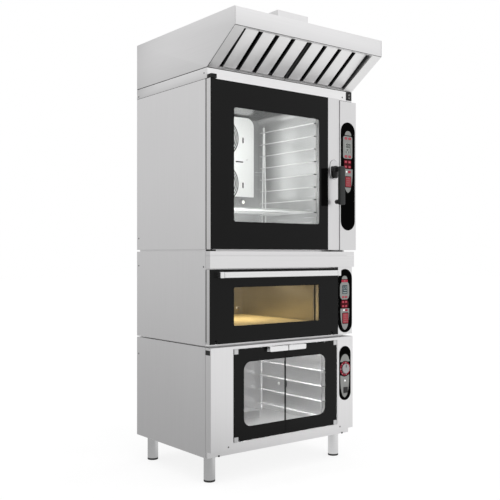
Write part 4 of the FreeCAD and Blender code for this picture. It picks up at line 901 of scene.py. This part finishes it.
# ------------------------------------------------------------------ black strips in the door gaps on the left flank, painted shade of the gaps
sd = Builder()
sd.box(-467.4, -461.0, -235.9, -232.2, 1095.0, 1881.8, 0.8, 0, 2)
sd.done("oven_door_side_gap_shade", "carcass", ["seal_black"])
sd = Builder()
sd.box(-467.4, -461.0, -235.9, -232.2, 664.0, 999.0, 0.8, 0, 2)
sd.done("deck_door_side_gap_shade", "carcass", ["seal_black"])

# flat oval rest under the free side of the oven door
pd_ = Builder()
pd_.prism(rrect(300.0, 385.0, -268.5, -240.0, 14.0, 10), "z", 1085.2, 1091.5, 1.2, 0, 3)
pd_.done("door_rest_pad", "carcass", ["black"])

# ------------------------------------------------------------------ control panels
SEG = {0: "abcdef", 1: "bc", 2: "abged", 3: "abgcd", 4: "fgbc", 5: "afgcd", 6: "afgedc", 7: "abc", 8: "abcdefg", 9: "abcdfg"}


def digit(b, n, x, z, w, h, t, y0, y1, mi):
    """one seven-segment figure with its lower left corner at x, z"""
    m = h / 2
    bars = {"a": (x + t, x + w - t, z + h - t, z + h), "g": (x + t, x + w - t, z + m - t / 2, z + m + t / 2), "d": (x + t, x + w - t, z, z + t),
            "f": (x, x + t, z + m + t * 0.3, z + h - t * 0.4), "b": (x + w - t, x + w, z + m + t * 0.3, z + h - t * 0.4),
            "e": (x, x + t, z + t * 0.4, z + m - t * 0.3), "c": (x + w - t, x + w, z + t * 0.4, z + m - t * 0.3)}
    for k_ in SEG[n]:
        x0, x1, z0, z1 = bars[k_]
        b.prism(rrect(x0, x1, z0, z1, t * 0.3, 2), "y", y0, y1, 0.0, mi)


def dome(cx, z0, w, h, k=14):
    """half-round cap standing on a level chord"""
    return [(cx + w / 2 * math.cos(math.radians(180 * i / k)), z0 + h * math.sin(math.radians(180 * i / k))) for i in range(k + 1)]


def tail(cx, z1, z0, w, k=14):
    """drop shape: straight top, sides drawing in to a rounded foot"""
    pts = [(cx + w / 2, z1)]
    L_ = []
    for i in range(1, k + 1):
        t_ = i / k
        half = w / 2 * math.sqrt(max(0.0, 1 - t_ ** 2.3))
        L_.append((half, z1 + (z0 - z1) * t_))
    right = [(cx + h_, z_) for h_, z_ in L_]
    left = [(cx - h_, z_) for h_, z_ in reversed(L_[:-1])]
    return pts + right + left + [(cx - w / 2, z1)]


def holed(b, outer, win, y0, y1, mi):
    """printed field with a rectangular window that a key passes through"""
    x0, x1, z0, z1 = win
    cx, cz = (x0 + x1) / 2, (z0 + z1) / 2
    out, inn = [], []
    k_ = len(outer)
    dense = []
    for i in range(k_):
        p_, q_ = outer[i], outer[(i + 1) % k_]
        m_ = max(1, int(math.hypot(q_[0] - p_[0], q_[1] - p_[1]) / 2.5))
        dense += [(p_[0] + (q_[0] - p_[0]) * t_ / m_, p_[1] + (q_[1] - p_[1]) * t_ / m_) for t_ in range(m_)]
    for p_ in dense:
        dx, dz = p_[0] - cx, p_[1] - cz
        if math.hypot(dx, dz) < 1e-6:
            continue
        f_ = min((x1 - cx) / abs(dx) if abs(dx) > 1e-9 else 1e9, (z1 - cz) / abs(dz) if abs(dz) > 1e-9 else 1e9)
        if f_ >= 0.995:
            f_ = 0.995
        out.append(p_)
        inn.append((cx + dx * f_, cz + dz * f_))
    b.ring(out, inn, "y", y0, y1, mi)


def pads(b, xs, z, w, h, y, mi, hi):
    """pair of printed touch pads, each with a paler middle"""
    for x_ in xs:
        b.prism(rrect(x_ - w / 2, x_ + w / 2, z - h / 2, z + h / 2, min(w, h) * 0.3, 4), "y", y - 0.35, y, 0.08, mi, 1)
        b.prism(rrect(x_ - w * 0.2, x_ + w * 0.2, z - h * 0.16, z + h * 0.16, h * 0.1, 3), "y", y - 0.42, y - 0.36, 0.0, hi)


PM = ["grey_print", "red_print", "pink_print", "dark_red", "lcd", "lcd_ink", "lcd_dark", "lcd_lit", "white_mark"]

# oven panel
YO = -275.5
ob = Builder()
ob.prism(ccw(dome(409.5, 1698.0, 46.0, 23.0)), "y", YO - 0.3, YO, 0.1, 0, 1)
ob.prism(rrect(373.5, 440.5, 1575.0, 1693.0, 11.0, 6), "y", YO - 0.3, YO, 0.1, 0, 1)
pads(ob, (394.0, 421.5), 1681.0, 19.0, 12.0, YO - 0.3, 1, 2)
pads(ob, (394.0, 421.5), 1586.0, 19.0, 12.0, YO - 0.3, 1, 2)
ob.prism(rrect(380.0, 432.0, 1520.0, 1570.0, 8.0, 5), "y", YO - 0.12, YO, 0.05, 3, 1)
pads(ob, (393.0, 420.5), 1557.5, 19.0, 13.0, YO - 0.12, 1, 2)
pads(ob, (393.0, 420.5), 1532.0, 19.0, 12.0, YO - 0.12, 1, 2)
# the tail, drawn round the key
kt = tail(409.5, 1520.0, 1394.0, 66.0)
holed(ob, ccw(kt), (389.8, 430.2, 1426.3, 1479.7), YO - 0.28, YO, 0)
ob.prism(rrect(409.0, 429.0, 1498.5, 1512.5, 4.0, 4), "y", YO - 0.5, YO - 0.28, 0.05, 1, 1)
ob.ring(rrect(386.8, 433.2, 1423.2, 1482.8, 6.0, 5), rrect(389.8, 430.2, 1426.3, 1479.7, 2.0, 5), "y", YO - 0.5, YO - 0.28, 3)
ob.done("oven_panel_print", "carcass", PM)

ld = Builder()
ld.prism(rrect(389.2, 427.8, 1600.2, 1657.8, 2.0, 4), "y", YO - 0.78, YO - 0.32, 0.1, 4, 1)
for n_, x_ in ((1, 389.8), (8, 399.2), (0, 410.8)):
    digit(ld, n_, x_, 1631.0, 9.8, 24.0, 3.4, YO - 0.8, YO - 0.78, 5)
for n_, x_ in ((2, 393.0), (5, 405.5)):
    digit(ld, n_, x_, 1603.0, 10.4, 24.0, 3.4, YO - 0.8, YO - 0.78, 5)
ld.prism(rrect(422.3, 426.0, 1604.0, 1654.0, 1.0, 3), "y", YO - 0.8, YO - 0.78, 0.0, 5)
# raised dots on the two red keys
for nm_, bod_, kx0, kx1, kz0, kz1, ky in (("oven_key_dots", "oven_button", 390.5, 429.5, 1427.0, 1479.0, None), ("deck_key_dots", "deck_button", 374.5, 413.5, 709.0, 761.0, None)):
    kd = Builder()
    yk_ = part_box("oven_key" if bod_ == "oven_button" else "deck_key")[0][1] / MM
    for i_ in range(3):
        for j_ in range(4):
            cx_, cz_ = kx0 + 9.5 + 10.0 * i_, kz0 + 9.0 + 11.3 * j_
            kd.lathe([(0.0, -0.02), (1.9, -0.02), (2.4, 0.25), (2.4, 0.6), (0.0, 0.6)], (cx_, yk_, cz_), "y", 0, 16)
    kd.done(nm_, bod_, ["grey_print"])
# deck oven panel
YK = -270.9
db = Builder()
db.prism(ccw(dome(389.0, 940.5, 40.0, 18.0)), "y", YK - 0.3, YK, 0.1, 0, 1)
db.prism(rrect(366.0, 412.0, 924.0, 937.5, 5.0, 5), "y", YK - 0.3, YK, 0.1, 1, 1)
db.prism(rrect(384.0, 394.0, 929.0, 933.0, 1.5, 3), "y", YK - 0.36, YK - 0.3, 0.0, 2)
db.prism(ccw([(368.0, 926.0), (358.0, 915.0), (355.5, 900.0), (355.5, 856.0), (360.0, 842.0), (370.0, 834.0), (408.0, 834.0), (418.0, 842.0), (422.5, 856.0), (422.5, 900.0), (420.0, 915.0), (410.0, 926.0)]), "y", YK - 0.28, YK, 0.1, 0, 1)
pads(db, (378.0, 400.0), 846.5, 17.0, 10.0, YK - 0.28, 1, 2)
db.lathe([(0.0, -0.12), (29.0, -0.12), (29.6, 0.0), (0.0, 0.0)], (389.0, YK, 809.0), "y", 3, 40)
pads(db, (378.0, 399.5), 820.5, 16.0, 11.0, YK - 0.14, 1, 2)
pads(db, (378.0, 399.5), 799.0, 16.0, 11.0, YK - 0.14, 1, 2)
holed(db, ccw(tail(390.5, 786.0, 673.0, 64.0)), (373.8, 414.2, 708.3, 761.7), YK - 0.26, YK - 0.13, 0)
db.prism(rrect(393.0, 411.0, 771.0, 783.0, 4.0, 4), "y", YK - 0.4, YK - 0.26, 0.05, 1, 1)
db.ring(rrect(370.6, 417.4, 705.2, 764.8, 6.0, 5), rrect(373.8, 414.2, 708.3, 761.7, 2.0, 5), "y", YK - 0.4, YK - 0.26, 3)
db.done("deck_panel_print", "carcass", PM)
ld.prism(rrect(371.7, 408.3, 862.2, 908.8, 2.0, 4), "y", YK - 0.78, YK - 0.3, 0.1, 6, 1)
for n_, x_ in ((2, 376.0), (2, 386.5), (0, 397.0)):
    digit(ld, n_, x_, 887.0, 7.2, 15.0, 1.8, YK - 0.8, YK - 0.78, 7)
ld.prism(rrect(381.0, 404.0, 879.0, 882.0, 1.0, 3), "y", YK - 0.8, YK - 0.78, 0.0, 7)
ld.prism(rrect(376.0, 404.0, 867.0, 871.0, 1.0, 3), "y", YK - 0.8, YK - 0.78, 0.0, 7)
ld.done("display_units", "carcass", PM, ["displays"])

# prover panel: cap, dial ring, tail
YP = -276.4
KX, KZ = 388.0, 471.0
pb = Builder()


def annulus(b, cx, cz, r0, r1, y0, y1, mi, k=56):
    o_ = [(cx + r1 * math.cos(2 * math.pi * i / k), cz + r1 * math.sin(2 * math.pi * i / k)) for i in range(k)]
    i_ = [(cx + r0 * math.cos(2 * math.pi * i / k), cz + r0 * math.sin(2 * math.pi * i / k)) for i in range(k)]
    b.ring(o_, i_, "y", y0, y1, mi)


PX = 386.0
cap_ = [(PX + 36.0, 508.0)] + [(PX + 30.0 * math.cos(math.radians(a_)), 512.0 + 35.0 * math.sin(math.radians(a_))) for a_ in range(15, 166, 10)] + [(PX - 36.0, 508.0)]
arc_ = [(PX + 38.5 * math.cos(math.radians(a_)), KZ + 38.5 * math.sin(math.radians(a_)) + 2.0) for a_ in range(120, 59, -6)]
pb.prism(ccw(cap_ + arc_), "y", YP - 0.3, YP, 0.1, 0, 1)
annulus(pb, PX + 1.0, KZ, 4.0, 36.5, YP - 0.12, YP, 3)
for i_ in range(14):
    a_ = math.radians(-62 + 360.0 / 14 * i_ + 90)
    pb.lathe([(0.0, -0.3), (4.4, -0.3), (4.9, -0.13), (0.0, -0.13)], (PX + 1.0 + 31.0 * math.cos(a_), YP, KZ + 31.0 * math.sin(a_)), "y", 1 if i_ % 2 else 2, 16)
annulus(pb, PX + 1.0, KZ, 34.3, 36.5, YP - 0.3, YP - 0.12, 1)
# tail with its top scooped round the ring
tl_ = tail(PX - 1.5, 438.0, 319.0, 65.0)
scoop = [(PX - 1.5 - 30.0 + 60.0 * i / 10, 438.0 - 9.0 * math.sin(math.pi * i / 10)) for i in range(1, 10)]
pb.prism(ccw(tl_ + scoop), "y", YP - 0.26, YP, 0.1, 0, 1)
pb.done("prover_panel_print", "carcass", PM)

# low dial knob: skirt, turned face, pointer rib
kb_ = Builder()
kb_.lathe([(3.0, 8.0), (3.0, 8.0), (24.6, 8.0), (26.0, 7.0), (26.0, 3.8), (24.4, 1.4), (22.4, 0.35), (20.0, 0.0), (17.5, 0.2), (16.5, 0.55), (6.0, 0.55), (0.0, 0.5), (0.0, 8.0)], (KX, -285.0, KZ), "y", 0, 64)
for i_ in range(30):
    a_ = 2 * math.pi * i_ / 30
    kb_.box(25.2, 26.0, -1.1, 1.1, -2.4, 2.4, 0.3, 1, 1, Matrix.Translation((KX, -279.6, KZ)) @ Matrix.Rotation(a_, 4, "Y") @ Matrix.Rotation(math.pi / 2, 4, "X"))
kb_.box(386.6, 389.4, -286.1, -284.2, 476.5, 492.5, 0.7, 1, 2)
kb_.done("prover_dial", "knob", ["dial", "grip"], ["prover_knob"])

# ------------------------------------------------------------------ lever handle
rg = Builder()
# black ring under the rosette: painted shadow of its undercut
rg.ring(stadium(283.3, 342.7, 1460.8, 1563.2), stadium(286.0, 340.0, 1463.5, 1560.5), "y", -270.3, -269.72, 0)
rg.done("rosette_undercut_shade", "oven_door", ["seal_black"])
hn = Builder()
hn.prism(rrect(300.0, 323.0, 1466.0, 1530.0, 8.0, 6), "y", -290.5, -277.5, 2.0, 1, 3)
hn.box(287.0, 325.0, -345.0, -323.0, 1325.0, 1523.0, 7.0, 0, 5)
hn.box(293.0, 330.5, -326.0, -289.0, 1496.0, 1523.5, 7.0, 1, 4)
hn.lathe([(0.0, 0.0), (12.0, 0.0), (12.0, 24.0), (10.5, 27.5), (8.0, 29.0), (0.0, 29.0)], (304.0, -323.5, 1342.0), "y", 1, 32)
hn.lathe([(0.0, 0.0), (13.5, 0.0), (15.2, 1.0), (16.0, 3.0), (16.0, 15.9), (0.0, 15.9)], (313.0, -290.0, 1512.0), "y", 1, 40)
hn.lathe([(0.0, 0.0), (6.0, 0.0), (6.0, 40.0), (0.0, 40.0)], (313.0, -275.0, 1512.0), "y", 2, 28)
hn.done("lever_handle", "oven_handle", ["grip", "black", "satin"], ["oven_door_handle"])

# ------------------------------------------------------------------ screws; the recess round each head and the cross slot are near-black, painted shade
sc = Builder()
SIDE = ((-219.7, 1912.4), (388.0, 1896.3), (387.0, 1153.7), (387.0, 1011.6), (-214.8, 1011.9), (388.0, 551.1))
for y_, z_ in SIDE:
    for right in (False, True):
        xs_ = -468.5 if not right else (468.5 if z_ > 1085 else 444.2)
        d_ = 1 if not right else -1
        # heads sit in the recesses of the casings; on the band sheet they lie on its face
        o_ = -0.29 * d_ if z_ > 1885 else 0.0
        sc.lathe([(0.0, o_ + 0.25 * d_), (2.2, o_ + 0.25 * d_), (3.1, o_ + 0.5 * d_), (3.3, 1.9 * d_), (0.0, 1.9 * d_)], (xs_, y_, z_), "x", 0, 24)
        # near-black ring round the head and cross slot below: painted shade of the recess and slot
        sc.lathe([(3.2, 0.25 * d_ + o_), (4.3, 0.25 * d_ + o_), (4.3, 1.9 * d_), (3.2, 1.9 * d_), (3.2, 0.25 * d_ + o_)], (xs_, y_, z_), "x", 1, 24)
        for w_, h_ in ((0.55, 2.1), (2.1, 0.55)):
            sc.box(*sorted((xs_ + 0.1 * d_ + o_ * 0.5, xs_ + 0.4 * d_)), y_ - w_, y_ + w_, z_ - h_, z_ + h_, 0.0, 1)
for (x_, y_, z_) in ((399.1, -243.0, 1902.0), (-368.2, -274.9, 170.5), (351.6, -274.9, 170.5)):
    sc.lathe([(0.0, -1.6), (2.4, -1.5), (3.6, -1.0), (4.2, -0.3), (4.2, 0.0), (0.0, 0.0)], (x_, y_, z_), "y", 0, 28)
    for w_, h_ in ((0.45, 2.0), (2.0, 0.45)):
        sc.box(x_ - w_, x_ + w_, y_ - 1.62, y_ - 1.3, z_ - h_, z_ + h_, 0.0, 1)
for (x_, z_) in ((-440, 1860), (440, 1860), (-440, 1120), (440, 1120), (-440, 1060), (415, 1060), (-440, 670), (415, 670)):
    sc.lathe([(0.0, 1.6), (2.4, 1.5), (3.6, 1.0), (4.2, 0.3), (4.2, 0.0), (0.0, 0.0)], (x_, 406.0, z_), "y", 0, 28)
    for w_, h_ in ((0.45, 2.0), (2.0, 0.45)):
        sc.box(x_ - w_, x_ + w_, 407.3, 407.62, z_ - h_, z_ + h_, 0.0, 1)
sc.done("screw_heads", "carcass", ["screw", "recess_shade_black"], ["casing_screws"])

# ------------------------------------------------------------------ floor
fm = bpy.data.materials.new("pale_floor")
fm.use_nodes = True
fn, fl = fm.node_tree.nodes, fm.node_tree.links
fn.clear()
fo = fn.new("ShaderNodeOutputMaterial")
ftc = fn.new("ShaderNodeTexCoord")
fs = fn.new("ShaderNodeSeparateXYZ")
fl.new(ftc.outputs["Object"], fs.inputs[0])


def floor_ramp(out, lo_, hi_, stops):
    r_ = fn.new("ShaderNodeMapRange")
    r_.inputs["From Min"].default_value = lo_
    r_.inputs["From Max"].default_value = hi_
    fl.new(out, r_.inputs["Value"])
    c_ = fn.new("ShaderNodeValToRGB")
    fl.new(r_.outputs["Result"], c_.inputs["Fac"])
    cr_ = c_.color_ramp
    cr_.elements[0].position, cr_.elements[0].color = (stops[0][0] - lo_) / (hi_ - lo_), (stops[0][1],) * 3 + (1,)
    cr_.elements[1].position, cr_.elements[1].color = (stops[-1][0] - lo_) / (hi_ - lo_), (stops[-1][1],) * 3 + (1,)
    for t_, v_ in stops[1:-1]:
        e_ = cr_.elements.new((t_ - lo_) / (hi_ - lo_))
        e_.color = (v_, v_, v_, 1)
    return c_.outputs["Color"]


# for reflected and bounced rays the floor glows with painted light and shadow: darker towards -X with a painted shadow
# dip just left of the object, brighter towards the front (-Y); camera rays see near-white
floor_shadow_across = floor_ramp(fs.outputs["X"], -14.0, 6.0, [(-12.0, 0.67), (-8.0, 0.66), (-4.0, 0.58), (-2.0, 0.535), (-1.2, 0.51), (-0.7, 0.47), (-0.4, 0.50), (-0.1, 0.68), (0.8, 0.92), (1.6, 0.94)])
along = floor_ramp(fs.outputs["Y"], -4.0, 4.0, [(-3.0, 1.0), (-1.4, 0.98), (-0.6, 0.87), (3.0, 0.87)])
fmul = fn.new("ShaderNodeMix")
fmul.data_type = "RGBA"
fmul.blend_type = "MULTIPLY"
fmul.inputs[0].default_value = 1.0
fl.new(floor_shadow_across, [i for i in fmul.inputs if i.name == "A" and i.type == "RGBA"][0])
fl.new(along, [i for i in fmul.inputs if i.name == "B" and i.type == "RGBA"][0])
fe = fn.new("ShaderNodeEmission")
fl.new([o for o in fmul.outputs if o.type == "RGBA"][0], fe.inputs["Color"])
fe2 = fn.new("ShaderNodeEmission")
fe2.inputs["Color"].default_value = (1, 1, 1, 1)
fe2.inputs["Strength"].default_value = 0.80
fd = fn.new("ShaderNodeBsdfDiffuse")
fv = coords(fn, fl)
fl.new(ramp2(fn, fl, noise(fn, fl, fv, 3.0, 3.0), (0.235, 0.235, 0.235), (0.245, 0.245, 0.245)), fd.inputs["Color"])
fad = fn.new("ShaderNodeAddShader")
fl.new(fe2.outputs[0], fad.inputs[0])
fl.new(fd.outputs[0], fad.inputs[1])
flp = fn.new("ShaderNodeLightPath")
fms = fn.new("ShaderNodeMixShader")
fl.new(flp.outputs["Is Camera Ray"], fms.inputs[0])
fl.new(fe.outputs[0], fms.inputs[1])
fl.new(fad.outputs[0], fms.inputs[2])
fl.new(fms.outputs[0], fo.inputs[0])
fm.cycles.emission_sampling = "NONE"
fme = bpy.data.meshes.new("floor")
fb = bmesh.new()
bmesh.ops.create_grid(fb, x_segments=1, y_segments=1, size=30)
fb.to_mesh(fme)
fb.free()
floor = bpy.data.objects.new("floor", fme)
scene.collection.objects.link(floor)
fme.materials.append(fm)
